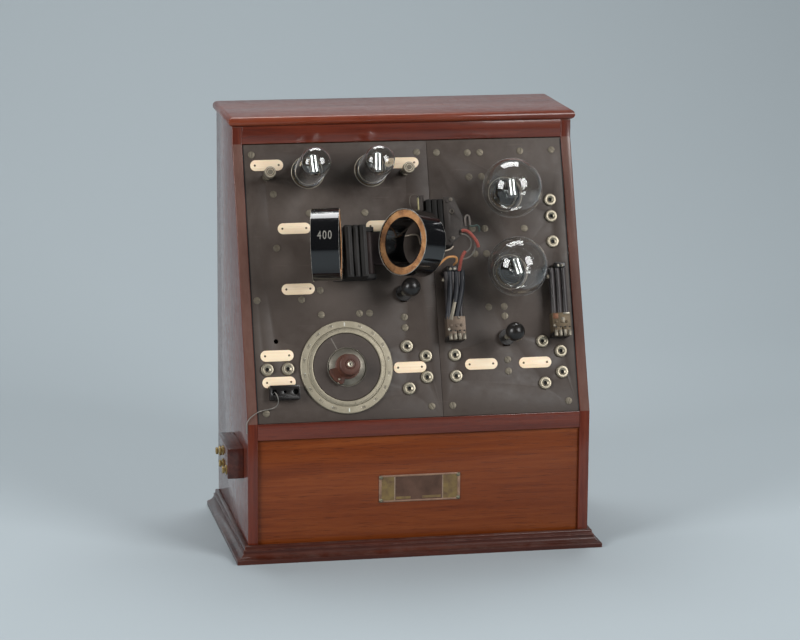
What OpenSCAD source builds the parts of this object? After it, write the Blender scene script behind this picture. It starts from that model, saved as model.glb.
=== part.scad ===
// Sloping-front valve radio receiver of the early 1920s in a mahogany cabinet.
// Frame: +Z up, the front looks along -Y, x = 0 in the middle, origin on the floor
// under the middle of the cabinet's footprint. All sizes are in millimetres.

/* [Cabinet] */
// Outer width over the two side boards
cabinet_w = 360; // [350:1:370]
// Depth at the foot, from the front edge to the back
cabinet_d = 221; // [216:1:230]
// Depth at the head, from the frieze to the back
head_d = 118.5; // [112:0.5:124]
// Height of the lower edge of the ebonite front
nose_z = 145; // [140:1:150]
// Height of the upper edge of the ebonite front
slope_top_z = 418; // [412:1:424]
// Height of the underside of the lid
lid_z = 436.5; // [434:0.5:440]
// Thickness of the lid
lid_t = 10; // [8:0.5:12]
// Overhang of the lid at the front and sides
lid_over = 4; // [2:0.5:6]
// Thickness of the side boards
side_t = 10.5; // [9:0.5:12]
// Height of the base moulding
base_h = 17.5; // [16:0.5:20]
// Projection of the base moulding
base_out = 13; // [11:0.5:15]

/* [Front] */
// Thickness of the ebonite panels
panel_t = 6; // [5:0.5:8]
// How far the panels lie below the edges of the side boards
panel_sink = 1.5; // [1:0.5:3]
// Where the two panels meet, to the right of the middle
panel_joint_u = 24.8; // [20:0.2:30]
// Width of an ivory label
label_w = 34.5; // [30:0.5:38]
// Height of an ivory label
label_h = 11.5; // [10:0.5:13]
// Outer diameter of a plug socket's flange
socket_flange_d = 13.2; // [12:0.1:15]
// Bore of a plug socket, for a 4 mm plug
socket_bore_d = 4; // [4:0.1:4.2]

/* [Dial] */
// Outer diameter of the scale ring
dial_d = 97.5; // [90:0.5:102]
// Inner diameter of the scale ring
dial_inner_d = 72; // [68:1:76]
// Diameter of the nickel plate under the knob
knob_plate_d = 41; // [36:1:44]
// Height of the knob's hub over the panel
knob_top_h = 24; // [20:1:28]

/* [Coils] */
// Bore of the plug-in coils
coil_bore_d = 50; // [48:1:51]
// Width of the coils over the celluloid band
coil_w = 30; // [26:1:30]
// Outer diameter of the large coil
large_coil_d = 74.4; // [72:0.2:80]
// Outer diameter of the small coil
small_coil_d = 69; // [64:1:70]
// Outward swing of the large coil as it stands
large_swing = 11; // [6:1:20]
// Outward swing of the small coil as it stands
small_swing = 35; // [20:1:40]

/* [Valves] */
// Diameter of the tubular bulbs
tube_bulb_d = 31.5; // [29:0.5:32]
// Height over the panel where a tubular bulb's dome begins
tube_dome_h = 55; // [50:1:58]
// Diameter of the globe bulbs
globe_d = 62; // [58:1:63]
// Height of a globe's centre over the panel
globe_h = 40; // [38:1:42]

/* [Hidden] */
$fn = 48;

// Cabinet
half_w = cabinet_w / 2;
inner_half_w = half_w - side_t;
front_y = -cabinet_d / 2 - base_out / 2 + 13;
back_y = front_y + cabinet_d;
head_y = back_y - head_d;
slope_run = head_y - front_y;
slope_rise = slope_top_z - nose_z;
tilt = atan2(slope_run, slope_rise);
slope_len = sqrt(slope_run * slope_run + slope_rise * slope_rise);
board_t = 8;
rail_h = 17.5;
mitre_gap = 0.05;
rail_t = 14;
board_sink = 3;
back_t = 8;
bottom_t = 10;
batten_w = 6;
batten_t = 12;
gap = 0.4;

// Front panels, measured across (u), up the slope (v) and out of the panel (h)
panel_edge = 0.5;
sockets = [
    [153, 224.5], [153, 207], [153, 180],
    [-156.5, 56], [-135, 56],
    [-9.7, 75], [9.8, 64], [9.8, 42], [-9.7, 31],
    [40.5, 64], [40.5, 42],
    [134.5, 75], [153.5, 64], [153.5, 42], [134.5, 31]
];
socket_flange_h = 2.5;
socket_sleeve_r = 4;
socket_len = 24;
socket_depth = 22;
labels = [
    [-145, 269], [-2, 268], [-120, 202], [-27.5, 202], [-119.5, 138.5],
    [-145.5, 70], [-7.6, 53], [68, 53.5], [125.5, 53]
];
cut_label = [-145, 42.5];
label_t = 1;
label_pin_u = 12.5;
pin_r = 1.1;
screw_r = 3.6;
back_screws_x = [-158, 0, 158];
back_screws_z = [5, 225, 431];
panel_screw_places = [
    [-160.5, 280.5], [14, 279], [35, 278], [124.5, 277.5], [158.5, 278],
    [-139.5, 182], [-163, 128], [-160, 11], [13, 11.5], [35, 11.5], [158.5, 11.5],
    [-116.5, 127.5], [-96.7, 136.5], [-97, 111], [-57, 111], [-46.5, 111],
    [68, 277], [81.3, 277], [68, 251.3], [81.3, 251.3], [68, 196], [81.3, 196],
    [69, 169.5], [81.5, 169.5], [123.7, 195],
    [-10, 105.5], [-10, 94.5], [-10, 169.5], [-10, 158.5],
    [96.5, 113], [96.5, 103], [96.5, 57], [96.5, 45],
    [80, 113], [-139.7, 238.5], [-103.3, 217.5], [-44.8, 216.5]
];

// Dial
dial_at = [-74, 55.5];
ring_t = 3;
ring_band_r = 41.5;
disc_r = 35.6;
shaft_r = 4;
knob_hub_r = 11;
pointer_turn = 30;
condenser_front_h = -18;
condenser_back_h = -58;
condenser_plate_t = 4;
condenser_half_w = 36;
vane_r = 31;
vane_t = 1;
vane_pitch = 4;
vane_count = 8;

// Coils
stand_u = [-72.5, -50];
stand_v = [145, 199];
stand_h = 30;
lug_t = 5;
hinge_h = 9;
left_hinge_u = -77.5;
right_hinge_u = -44.5;
hinge_pin_r = 2.5;
hinge_bore_r = 2.55;
knuckle_r = 4.5;
left_coil_v = 174.3;
right_coil_v = 176;
left_off_u = 9.7;
right_off_u = 12.5;
holder_low = 8;
holder_high = 15;
plug_pin_r = 2;
plug_pin_gap = 16;
plug_bore_r = 2.05;
rim_t = 1;
former_t = 1;
large_lift = 53;
small_lift = 50;
wire_sides = 6;
wire_r = 0.5;
turns_per_layer = 6;
strands_per_layer = 2 * (6 * turns_per_layer + 1);
strand_turn = 360 * turns_per_layer / strands_per_layer;
bend_turn = 2.4;
winding_w = coil_w - 3.6;
winding_fit = 0.05;
level_pitch = 1.6;
under_band = 1.1;

// Leads' block and plate
lead_block_u = [15, 41];
lead_block_v = [173, 224];
lead_block_h = 27;
lead_plate_t = 1.5;

// Valves, sockets and rings
tube_valves = [[-102.5, 260.5], [-36, 261]];
globe_valves = [[104.5, 231], [104.5, 148.5]];
cap_r = 15;
cap_low = -27;
cap_high = -3;
valve_hole_r = 16.5;
pin_circle_r = 8;
valve_pin_r = 1.65;
valve_pin_bore_r = 1.7;
valve_pin_len = 14;
valve_socket_r = 19;
valve_socket_t = 10;
glass_t = 1;
globe_neck_r = 13.5;
dome_rise = 11;
anode_r = 4.7;
tube_anode_h = 44;
tube_anode_len = 17;
globe_anode_len = 16;
anode_leans = [4, -3, 3, 14];

// Lever keys
keys = [[-9.6, 130.3], [96.5, 80.3]];
key_pivot_h = -16;
key_ball_r = 9.9;
key_ball_h = 43;
key_stem_r = 3;
key_pin_r = 2;
key_slot_low = 8.8;
key_slot_high = 3.6;
key_slot_w = 7;
key_collar_r = 8.5;
key_collar_h = 4;

// Slide rheostats
rheostat_u = [41, 154.5];
rheostat_low_v = 78;
rheostat_high_v = 155;
rheostat_tube_r = 3.1;
rheostat_tube_gap = 7;
rheostat_tube_h = 13;
slider_v = 82;
slider_len = 20;

// Terminals
studs = [[-146, 256.5], [-0.8, 257.8]];
stud_foot_r = 4;
stud_r = 2.5;
stud_top_h = 31;
nut_r = 6;
nut_low = 20;
nut_high = 30;

// Small socket block beside the dial, and the loose wire in its left hole
block_u = [-156, -125];
block_v = [24, 38.5];
block_h = 9;
block_holes = [-151.5, -140.5, -129.5];
wire_d = 1;
loose_route = [
    [-151.5, 31.5, 6], [-151.5, 31.5, 9], [-151, 30.5, 12], [-149.5, 27, 13.5], [-148.5, 22.5, 11.5],
    [-149, 18.5, 7.5], [-152.5, 16, 3.5], [-157.5, 15, 1.8], [-163, 14.2, 1.8], [-168, 12.8, 2.6],
    [-173, 10, 3.2], [-178, 6, 3.4], [-180.8, 1.5, 2.4], [-181.2, -3.5, 0.4], [-180.7, -8.5, -2.6]
];
orange_route = [
    [-23.48, 166, 6.73], [-22.74, 166, 6.21], [-22.01, 166, 5.7], [-19.5, 164.6, 4.3], [-10, 159, 3.5],
    [4, 150.5, 6], [13, 147.5, 12], [20.5, 151, 20], [29, 158.5, 27], [35.5, 161.5, 29.5],
    [39.5, 159.5, 27.5], [39.5, 156, 24.5], [39.5, 153.5, 22.9]
];
white_route = [
    [-23.48, 184, 6.73], [-22.74, 184, 6.21], [-22.01, 184, 5.7], [-18, 186, 3.6], [-12, 189, 2.8],
    [-5, 190, 2.6], [3, 191.2, 2.8], [8.2, 190.6, 3], [10, 187, 4], [10.5, 180, 8], [14, 172.5, 16],
    [19.5, 169.8, 24], [25, 169.6, 29.5], [32, 171, 33], [37.5, 173.5, 32], [39.5, 176, 29.6]
];
red_route = [
    [50, 190, 29.4], [57, 190, 32], [64.5, 185, 34], [67.5, 176.5, 33], [64.5, 169, 31], [57, 164.5, 30],
    [50.8, 161, 28], [48.6, 156, 25], [48, 152, 22.9]
];
grey_route = [
    [49, 186, 29.4], [56, 186.5, 33], [61.5, 180.5, 35], [62, 173, 34], [57, 167.5, 32], [50, 165, 30],
    [45, 160.5, 28], [44.3, 156, 25], [44.3, 153.5, 22.9]
];
lead_r = 0.8;

// Name plate and the block on the left side
plate_size = [86, 33];
plate_at = [2.5, 70];
plate_t = 1;
side_block_size = [17, 70, 32];
side_block_y = front_y + 28;
side_block_z = 81;
side_terminal_places = [[8, 8], [31, 23], [31, 9], [56, 16]];

// Places a child in panel coordinates: x across, y up the slope, z out of the panel.
module on_panel(h = 0) {
    translate([0, front_y, nose_z])
        rotate([90 - tilt, 0, 0])
            translate([0, 0, h - panel_sink])
                children();
}

// Places a child at a point of the panel.
module at(p, h = 0) {
    on_panel(h)
        translate([p[0], p[1], 0])
            children();
}

// Turns a child about a coil hinge, whose axis runs up the slope.
module about_hinge(u, swing) {
    on_panel()
        translate([u, 0, hinge_h])
            rotate([0, swing, 0])
                children();
}

// A block between two corners.
module block(low, high) {
    translate(low)
        cube(high - low);
}

// The side board's outline, seen from the right.
module side_outline() {
    polygon([
        [front_y, 0], [back_y, 0], [back_y, lid_z], [head_y, lid_z],
        [head_y, slope_top_z], [front_y, nose_z]
    ]);
}

module side_board(x) {
    translate([x, 0, 0])
        rotate([90, 0, 90])
            linear_extrude(side_t)
                side_outline();
}

module left_side() {
    color("saddlebrown")
        side_board(-half_w);
}

module right_side() {
    color("saddlebrown")
        side_board(half_w - side_t);
}

// Points of an arc about a centre.
function arc(c, r, from, to, n) =
    [for (i = [0:n]) let (a = from + (to - from) * i / n) c + r * [cos(a), sin(a)]];

// The lid: two extrusions with half-round noses, crossed so that the noses meet in mitres.
module lid() {
    r = lid_t / 2;
    low_y = head_y - lid_over;
    side_x = half_w + lid_over;
    across = concat(arc([side_x - r, r], r, -90, 90, 10), arc([-side_x + r, r], r, 90, 270, 10));
    along = concat([[back_y, 0], [back_y, lid_t]], arc([low_y + r, r], r, 90, 270, 10));
    color("brown")
        translate([0, 0, lid_z])
            intersection() {
                translate([0, back_y, 0])
                    rotate([90, 0, 0])
                        linear_extrude(head_d + 2 * lid_over)
                            polygon(across);
                translate([-side_x, 0, 0])
                    rotate([90, 0, 90])
                        linear_extrude(2 * side_x)
                            polygon(along);
            }
}

module frieze_rail() {
    color("brown")
        translate([-inner_half_w, 0, 0])
            rotate([90, 0, 90])
                linear_extrude(2 * inner_half_w)
                    polygon([
                        [head_y, slope_top_z], [head_y, lid_z], [head_y + rail_t, lid_z],
                        [head_y + rail_t, slope_top_z + 4], [head_y + 4, slope_top_z]
                    ]);
}

// The rail under the panels, whose top is square to the slope.
module front_rail() {
    low_z = nose_z - rail_h;
    color("brown")
        difference() {
            block([-inner_half_w, front_y, low_z], [inner_half_w, front_y + rail_t, nose_z + 12]);
            on_panel(panel_sink)
                block([-half_w, 0, -60], [half_w, 60, 60]);
        }
}

module front_board() {
    color("peru")
        block(
            [-inner_half_w, front_y + board_sink, 0],
            [inner_half_w, front_y + board_sink + board_t, nose_z - rail_h]);
}

// The profile of the base moulding, out from the cabinet and up from the floor.
module base_profile() {
    polygon(concat(
        [[0, 0], [base_out, 0], [base_out, 4]],
        arc([base_out - 0.8, 4], 0.8, 0, 90, 3),
        arc([base_out - 0.6, 12.2], 7, 262, 188, 6),
        arc([4.8, 12.2], 1, -20, 110, 4),
        [[4, 13.6], [4, base_h - 1], [3, base_h], [0, base_h]]));
}

// One length of the moulding, standing out along -y, with its ends cut to mitres or square.
module moulding_length(len, left_mitre, right_mitre) {
    left = left_mitre ? -base_out : 0;
    right = right_mitre ? base_out : 0;
    intersection() {
        translate([-len / 2 - base_out, 0, 0])
            rotate([90, 0, 90])
                linear_extrude(len + 2 * base_out)
                    mirror([1, 0, 0])
                        base_profile();
        translate([0, 0, -1])
            linear_extrude(base_h + 2)
                polygon([
                    [-len / 2 + mitre_gap, 0], [len / 2 - mitre_gap, 0],
                    [len / 2 + right - mitre_gap, -base_out], [-len / 2 + left + mitre_gap, -base_out]
                ]);
    }
}

module base_moulding() {
    mid_y = (front_y + back_y) / 2;
    color("brown") {
        translate([0, front_y, 0])
            moulding_length(cabinet_w, true, true);
        translate([half_w, mid_y, 0])
            rotate([0, 0, 90])
                moulding_length(cabinet_d, true, false);
        translate([-half_w, mid_y, 0])
            rotate([0, 0, -90])
                moulding_length(cabinet_d, false, true);
    }
}

module bottom_board() {
    color("sienna")
        block(
            [-inner_half_w, front_y + board_sink + board_t, 0],
            [inner_half_w, back_y - back_t, bottom_t]
        );
}

module back_board() {
    color("sienna")
        block([-inner_half_w, back_y - back_t, 0], [inner_half_w, back_y, lid_z]);
}

// Wooden fillets along the side boards, which the panels lie on.
module panel_battens() {
    color("sienna")
        on_panel(-panel_t - batten_t) {
            block([-inner_half_w, 20, 0], [-inner_half_w + batten_w, slope_len - 16, batten_t]);
            block([inner_half_w - batten_w, 20, 0], [inner_half_w, slope_len - 16, batten_t]);
        }
}

module name_plate() {
    color("darkgoldenrod")
        translate([plate_at[0], front_y + board_sink, plate_at[1]])
            rotate([90, 0, 0])
                linear_extrude(plate_t)
                    square(plate_size, center = true);
}

// Small brass pins in the name plate and in the labels.
module plate_pins() {
    color("darkgoldenrod") {
        for (x = [-1, 1], z = [-1, 1])
            translate([
                plate_at[0] + x * (plate_size[0] / 2 - 3),
                front_y + board_sink - plate_t,
                plate_at[1] + z * (plate_size[1] / 2 - 3)])
                rotate([90, 0, 0])
                    cylinder(h = 0.6, r = 1.2);
        for (p = concat(labels, [cut_label]), side = [-1, 1])
            at([p[0] + side * label_pin_u, p[1]], label_t)
                cylinder(h = 0.3, r = pin_r);
    }
}

module side_block() {
    color("saddlebrown")
        block(
            [-half_w - side_block_size[0], side_block_y, side_block_z],
            [-half_w, side_block_y + side_block_size[1], side_block_z + side_block_size[2]]);
}

// Brass battery terminals on the outer face of the side block.
module side_terminals() {
    color("goldenrod")
        for (p = side_terminal_places)
            translate([-half_w - side_block_size[0], side_block_y + p[0], side_block_z + p[1]])
                rotate([0, -90, 0]) {
                    cylinder(h = 1.2, r = 5);
                    cylinder(h = 4, r = 2);
                    translate([0, 0, 2.2])
                        cylinder(h = 2.4, r = 3.6);
                }
}

// Everything that goes through the two panels.
module panel_holes() {
    for (p = sockets)
        translate([p[0], p[1], -1])
            cylinder(h = panel_t + 2, r = socket_sleeve_r);
    for (p = concat(tube_valves, globe_valves))
        translate([p[0], p[1], -1])
            cylinder(h = panel_t + 2, r = valve_hole_r);
    translate([dial_at[0], dial_at[1], -1])
        cylinder(h = panel_t + 2, r = shaft_r + 0.05);
    for (p = keys)
        translate([p[0] - key_slot_w / 2, p[1] - key_slot_low, -1])
            cube([key_slot_w, key_slot_low + key_slot_high, panel_t + 2]);
    for (p = studs)
        translate([p[0], p[1], -1])
            cylinder(h = panel_t + 2, r = stud_r);
    translate([-145.5, 85, -1])
        cylinder(h = panel_t + 2, r = 2.5);
}

module panel(from_u, to_u) {
    on_panel(-panel_t)
        difference() {
            block([from_u, panel_edge, 0], [to_u, slope_len - panel_edge, panel_t]);
            panel_holes();
        }
}

module tuning_panel() {
    color("dimgray")
        panel(-inner_half_w + gap, panel_joint_u - gap / 2);
}

module amplifier_panel() {
    color("dimgray")
        panel(panel_joint_u + gap / 2, inner_half_w - gap);
}

// A screw head, with a slot that ends just short of its edge.
module screw_head(turn) {
    difference() {
        cylinder(h = 0.7, r = screw_r);
        rotate([0, 0, turn])
            translate([-screw_r + 0.5, -0.4, 0.3])
                cube([2 * screw_r - 1, 0.8, 1]);
    }
}

// Screw heads on the panels, and on the back board that they hold.
module screws() {
    color("darkkhaki") {
        for (p = panel_screw_places)
            at(p)
                screw_head(p[0] * 7 + p[1] * 3);
        for (x = back_screws_x, z = back_screws_z)
            translate([x, back_y, z])
                rotate([-90, 0, 0])
                    screw_head(x + z);
        for (u = rheostat_u, side = [-1, 1])
            at([u + side * 3.5, rheostat_high_v - 4], 22)
                cylinder(h = 1, r = 1.7);
    }
}

module label_outline() {
    square([label_w - label_h, label_h], center = true);
    for (side = [-1, 1])
        translate([side * (label_w - label_h) / 2, 0])
            circle(r = label_h / 2);
}

module label_plates() {
    color("ivory") {
        for (p = labels)
            at(p)
                linear_extrude(label_t)
                    label_outline();
        at(cut_label)
            linear_extrude(label_t)
                difference() {
                    label_outline();
                    polygon([[-10.8, -3.6], [-9, -3], [20, -3], [20, -10], [-16, -10], [-12, -5.9]]);
                }
    }
}

// Nickel sockets for 4 mm plugs: a countersunk flange, a sleeve and a nut behind.
module plug_sockets() {
    color("silver")
        for (p = sockets)
            at(p)
                difference() {
                    union() {
                        cylinder(
                            h = socket_flange_h,
                            r1 = socket_flange_d / 2,
                            r2 = socket_flange_d / 2 - 0.8
                        );
                        translate([0, 0, socket_flange_h - socket_len])
                            cylinder(h = socket_len - 0.5, r = socket_sleeve_r);
                        translate([0, 0, -panel_t - 3])
                            cylinder(h = 3, r = 6.5, $fn = 6);
                    }
                    translate([0, 0, socket_flange_h - socket_depth])
                        cylinder(h = socket_depth + 1, r = socket_bore_d / 2);
                    translate([0, 0, socket_flange_h - 1.2])
                        cylinder(h = 1.3, r1 = socket_bore_d / 2, r2 = socket_bore_d / 2 + 1.5);
                }
}

module socket_block() {
    color("black")
        on_panel()
            difference() {
                block([block_u[0], block_v[0], 0], [block_u[1], block_v[1], block_h]);
                for (i = [0:2])
                    translate([block_holes[i], 31.5, 3])
                        cylinder(h = block_h, r = i == 1 ? 1.6 : 2.9);
            }
}

// The fixed nickel scale: a flat outer band and a sloping inner band.
module scale_ring() {
    color("silver")
        at(dial_at)
            rotate_extrude($fn = 96)
                polygon([
                    [dial_inner_d / 2, 0], [dial_d / 2, 0],
                    [dial_d / 2, ring_t - 0.8], [dial_d / 2 - 0.8, ring_t],
                    [ring_band_r + 0.3, ring_t], [ring_band_r, ring_t - 0.5], [ring_band_r - 0.3, ring_t],
                    [dial_inner_d / 2 + 0.6, ring_t + 0.6], [dial_inner_d / 2, ring_t]
                ]);
}

// The ebonite disc turns inside the ring and carries the pointer line.
module dial_disc() {
    color("dimgray")
        at(dial_at, 0.3)
            difference() {
                cylinder(h = 2.2, r = disc_r, $fn = 96);
                translate([0, 0, -1])
                    cylinder(h = 4, r = shaft_r);
                rotate([0, 0, 90 + pointer_turn])
                    translate([disc_r - 14, -0.4, 1.8])
                        cube([13.5, 0.8, 1]);
            }
}

module knob_plate() {
    color("silver")
        at(dial_at, 2.5)
            difference() {
                cylinder(h = 3, r = knob_plate_d / 2);
                translate([0, 0, -1])
                    cylinder(h = 5, r = shaft_r);
            }
}

// What is left of the knob: a brown hub and a broken piece of its skirt.
module tuning_knob() {
    color("sienna")
        at(dial_at, 5.5)
            difference() {
                union() {
                    cylinder(h = 3, r = knob_hub_r + 2);
                    cylinder(h = knob_top_h - 5.5, r = knob_hub_r);
                    linear_extrude(3.5)
                        polygon(concat([[0, 0]], arc([0, 0], knob_plate_d / 2 - 0.6, 186, 254, 8)));
                }
                translate([0, 0, -1])
                    cylinder(h = knob_top_h, r = shaft_r);
            }
}

module condenser_plate() {
    difference() {
        translate([-condenser_half_w, -condenser_half_w, 0])
            cube([2 * condenser_half_w, 2 * condenser_half_w, condenser_plate_t]);
        translate([0, 0, -1])
            cylinder(h = condenser_plate_t + 2, r = shaft_r + 0.05);
    }
}

// Two end plates and four pillars behind the panel.
module condenser_frame() {
    post = condenser_half_w - 4;
    color("tan")
        at(dial_at) {
            translate([0, 0, condenser_front_h])
                condenser_plate();
            translate([0, 0, condenser_back_h])
                condenser_plate();
            for (x = [-post, post], y = [-post, post])
                translate([x, y, condenser_back_h + condenser_plate_t])
                    cylinder(h = condenser_front_h - condenser_back_h - condenser_plate_t, r = 3);
            for (x = [-post, post], y = [-post, post])
                translate([x, y, condenser_front_h + condenser_plate_t])
                    cylinder(h = -panel_t - condenser_front_h - condenser_plate_t, r = 3);
        }
}

module half_vane(r, inner_r, turn) {
    rotate([0, 0, turn])
        difference() {
            cylinder(h = vane_t, r = r);
            translate([0, 0, -1])
                cylinder(h = vane_t + 2, r = inner_r);
            translate([-r - 1, -2 * r, -1])
                cube([2 * r + 2, 2 * r, vane_t + 2]);
        }
}

// Fixed half-round vanes on a spine.
module condenser_stator() {
    low = condenser_back_h + condenser_plate_t;
    high = condenser_front_h;
    color("lightgray")
        at(dial_at) {
            for (i = [0:vane_count - 1])
                translate([0, 0, low + 3 + i * vane_pitch])
                    half_vane(vane_r, 8, 0);
            translate([0, vane_r - 2, low])
                cylinder(h = high - low, r = 2);
        }
}

// The shaft that turns with the knob, with the moving vanes on it.
module condenser_rotor() {
    low = condenser_back_h + condenser_plate_t;
    color("gold")
        at(dial_at) {
            translate([0, 0, condenser_back_h - 2])
                cylinder(h = knob_top_h - condenser_back_h + 2.6, r = shaft_r);
            for (i = [0:vane_count - 1])
                translate([0, 0, low + 1 + i * vane_pitch])
                    half_vane(vane_r - 5, shaft_r - 0.5, 90 + pointer_turn);
        }
}

// The ebonite stand between the coils, with lugs that hold both hinge pins.
module coil_stand() {
    color("black")
        on_panel()
            difference() {
                union() {
                    block([stand_u[0], stand_v[0], 0], [stand_u[1], stand_v[1], stand_h]);
                    for (v = [stand_v[0], stand_v[1] - lug_t]) {
                        block([left_hinge_u - 5, v, 0], [stand_u[0] + 1, v + lug_t, hinge_h + 5]);
                        block(
                            [stand_u[1] - 1, v, label_t + 0.5],
                            [right_hinge_u + 5, v + lug_t, hinge_h + 5]);
                    }
                }
                for (u = [left_hinge_u, right_hinge_u])
                    translate([u, stand_v[0] - 1, hinge_h])
                        rotate([-90, 0, 0])
                            cylinder(h = stand_v[1] - stand_v[0] + 2, r = hinge_bore_r);
                for (u = [stand_u[0] + 8, stand_u[1] - 8])
                    translate([u - 1, stand_v[0] - 1, stand_h - 3])
                        cube([2, stand_v[1] - stand_v[0] + 2, 4]);
            }
}

// A swinging arm, drawn in its hinge's own axes with the coil standing straight out.
module coil_arm(side, off_u, coil_v) {
    low = stand_v[0] + lug_t + 0.3;
    high = stand_v[1] - lug_t - 0.3;
    centre = side * off_u;
    difference() {
        union() {
            translate([0, low, 0])
                rotate([-90, 0, 0])
                    cylinder(h = high - low, r = knuckle_r);
            translate([0, stand_v[0], 0])
                rotate([-90, 0, 0])
                    cylinder(h = stand_v[1] - stand_v[0], r = hinge_pin_r);
            translate([0, coil_v + 16, 0])
                rotate([90, 0, 0])
                    linear_extrude(32)
                        polygon([
                            [0, -2], [side * 3, -2], [centre + side * 6, holder_low],
                            [centre + side * 6, holder_high],
                            [centre - side * 6, holder_high], [-side * 1, 4]
                        ]);
        }
        for (v = [-1, 1])
            translate([centre, coil_v + v * plug_pin_gap / 2, holder_low - 4])
                cylinder(h = 20, r = plug_bore_r);
    }
}

module left_coil_arm() {
    color("goldenrod")
        about_hinge(left_hinge_u, -large_swing)
            coil_arm(-1, left_off_u, left_coil_v);
}

module right_coil_arm() {
    color("goldenrod")
        about_hinge(right_hinge_u, small_swing)
            coil_arm(1, right_off_u, right_coil_v);
}

// Puts a child at a coil's centre, with the coil's axis along x.
module at_large_coil() {
    about_hinge(left_hinge_u, -large_swing)
        translate([-left_off_u, left_coil_v, large_lift])
            children();
}

module at_small_coil() {
    about_hinge(right_hinge_u, small_swing)
        translate([right_off_u, right_coil_v, small_lift])
            children();
}

module ring_about_x(w, r_out, r_in) {
    rotate([0, 90, 0])
        difference() {
            cylinder(h = w, r = r_out, center = true, $fn = 96);
            cylinder(h = w + 2, r = r_in, center = true, $fn = 96);
        }
}

// The black band round a coil and the tube that it is wound on.
module coil_band(d) {
    ring_about_x(coil_w, d / 2, d / 2 - rim_t);
    ring_about_x(coil_w - 2, coil_bore_d / 2 + former_t, coil_bore_d / 2);
}

// The ring of a swept tube's skin at one point. It halves the bend there, and up is any
// direction that the tube doesn't take.
function unit(v) = v / norm(v);
function bend_direction(before, p, after) =
    before == p ? unit(after - p)
    : after == p ? unit(p - before)
    : unit(unit(p - before) + unit(after - p));
function tube_ring(d, p, up, r, sides) =
    let (a = unit(cross(d, up)), b = cross(d, a))
    [for (k = [0:sides - 1]) p + r * (a * cos(360 * k / sides) + b * sin(360 * k / sides))];

// Closes a list of rings into one solid of triangles.
module skin(rings, sides) {
    n = len(rings);
    points = [for (ring = rings, p = ring) p];
    walls = [
        for (i = [0:n - 2], k = [0:sides - 1])
            let (a = i * sides + k, b = i * sides + (k + 1) % sides, c = a + sides, d = b + sides)
            each [[a, d, b], [a, c, d]]
    ];
    first = [for (k = [1:sides - 2]) [0, k, k + 1]];
    last = [for (k = [1:sides - 2]) [(n - 1) * sides, (n - 1) * sides + k + 1, (n - 1) * sides + k]];
    polyhedron(points, concat(walls, first, last));
}

// A tube along a list of points.
module tube(path, r, sides) {
    n = len(path);
    skin(
        [
            for (i = [0:n - 1])
                let (d = bend_direction(path[max(i - 1, 0)], path[i], path[min(i + 1, n - 1)]))
                tube_ring(d, path[i], abs(d[2]) < 0.9 ? [0, 0, 1] : [0, 1, 0], r, sides)
        ],
        sides);
}

// A smooth curve through the points of a route, with a few steps between each pair.
function smooth_point(a, b, c, d, t) =
    0.5 * (
        2 * b + (c - a) * t
        + (2 * a - 5 * b + 4 * c - d) * t * t
        + (3 * b - a - 3 * c + d) * t * t * t
    );
function smooth(route, steps) =
    let (n = len(route))
    concat(
        [
            for (i = [0:n - 2], k = [0:steps - 1])
                smooth_point(
                    route[max(i - 1, 0)], route[i],
                    route[i + 1], route[min(i + 2, n - 1)], k / steps
                )
        ],
        [route[n - 1]]);

// The large coil's wire has more layers than a source can wind, so its outer layer winds over
// a plain core. It crosses from face to face in straight strands. Each strand to the right
// lies on the lower level and each strand back on the upper one, so that they cross clear.
function upper_level(d) = d / 2 - rim_t - under_band;
function core_r(d) =
    (upper_level(d) - level_pitch) * cos(strand_turn / 2 - bend_turn) - wire_r - 0.1;
function around(x, r, turn) = [x, r * cos(turn), r * sin(turn)];
function strand_side(j) = j % 2 == 0 ? -winding_w / 2 : winding_w / 2;
function strand_r(j, top_r) = top_r - level_pitch * (1 - j % 2);
function strand_point(j, t, top_r) =
    let (
        from = around(strand_side(j), strand_r(j, top_r), j * strand_turn + bend_turn),
        to = around(-strand_side(j), strand_r(j, top_r), (j + 1) * strand_turn - bend_turn)
    )
    from + t * (to - from);

// The least clear distance between two strands that don't follow each other, measured at
// seven points of each.
function least_gap(top_r) =
    min([
        for (i = [0:12], j = [0:strands_per_layer - 1])
            if (abs(i - j) > 1)
                for (s = [0:6], t = [0:6])
                    norm(strand_point(i, s / 6, top_r) - strand_point(j, t / 6, top_r))
    ]) - 2 * wire_r;

// The outer layer is one unbroken tube. Its ends stand square on the core and on the band.
module outer_layer(d) {
    top_r = upper_level(d);
    count = strands_per_layer;
    path = concat(
        [around(strand_side(0), core_r(d) + 0.02, bend_turn)],
        [for (j = [0:count - 1], t = [0, 1]) strand_point(j, t, top_r)],
        [around(-strand_side(count - 1), d / 2 - rim_t - 0.02, count * strand_turn - bend_turn)]);
    n = len(path);
    skin(
        [
            for (i = [0:n - 1])
                let (
                    d = bend_direction(path[max(i - 1, 0)], path[i], path[min(i + 1, n - 1)]),
                    out = [0, path[i][1], path[i][2]]
                )
                tube_ring(d, path[i], i == 0 || i == n - 1 ? [1, 0, 0] : out, wire_r, wire_sides)
        ],
        wire_sides);
    echo(winding_gap_mm = least_gap(top_r));
}

// The coil's plug: an ebonite block under the band and two brass pins.
module coil_plug(d, lift) {
    foot = holder_high + 0.1 - lift;
    difference() {
        translate([-7, -16, foot])
            cube([14, 32, -d / 2 + 4 - foot]);
        rotate([0, 90, 0])
            cylinder(h = coil_w + 2, r = d / 2, center = true, $fn = 96);
    }
    for (v = [-1, 1])
        translate([0, v * plug_pin_gap / 2, foot - 6.5])
            cylinder(h = 7.5, r = plug_pin_r);
}

module large_coil_band() {
    color("black")
        at_large_coil()
            coil_band(large_coil_d);
}

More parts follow.
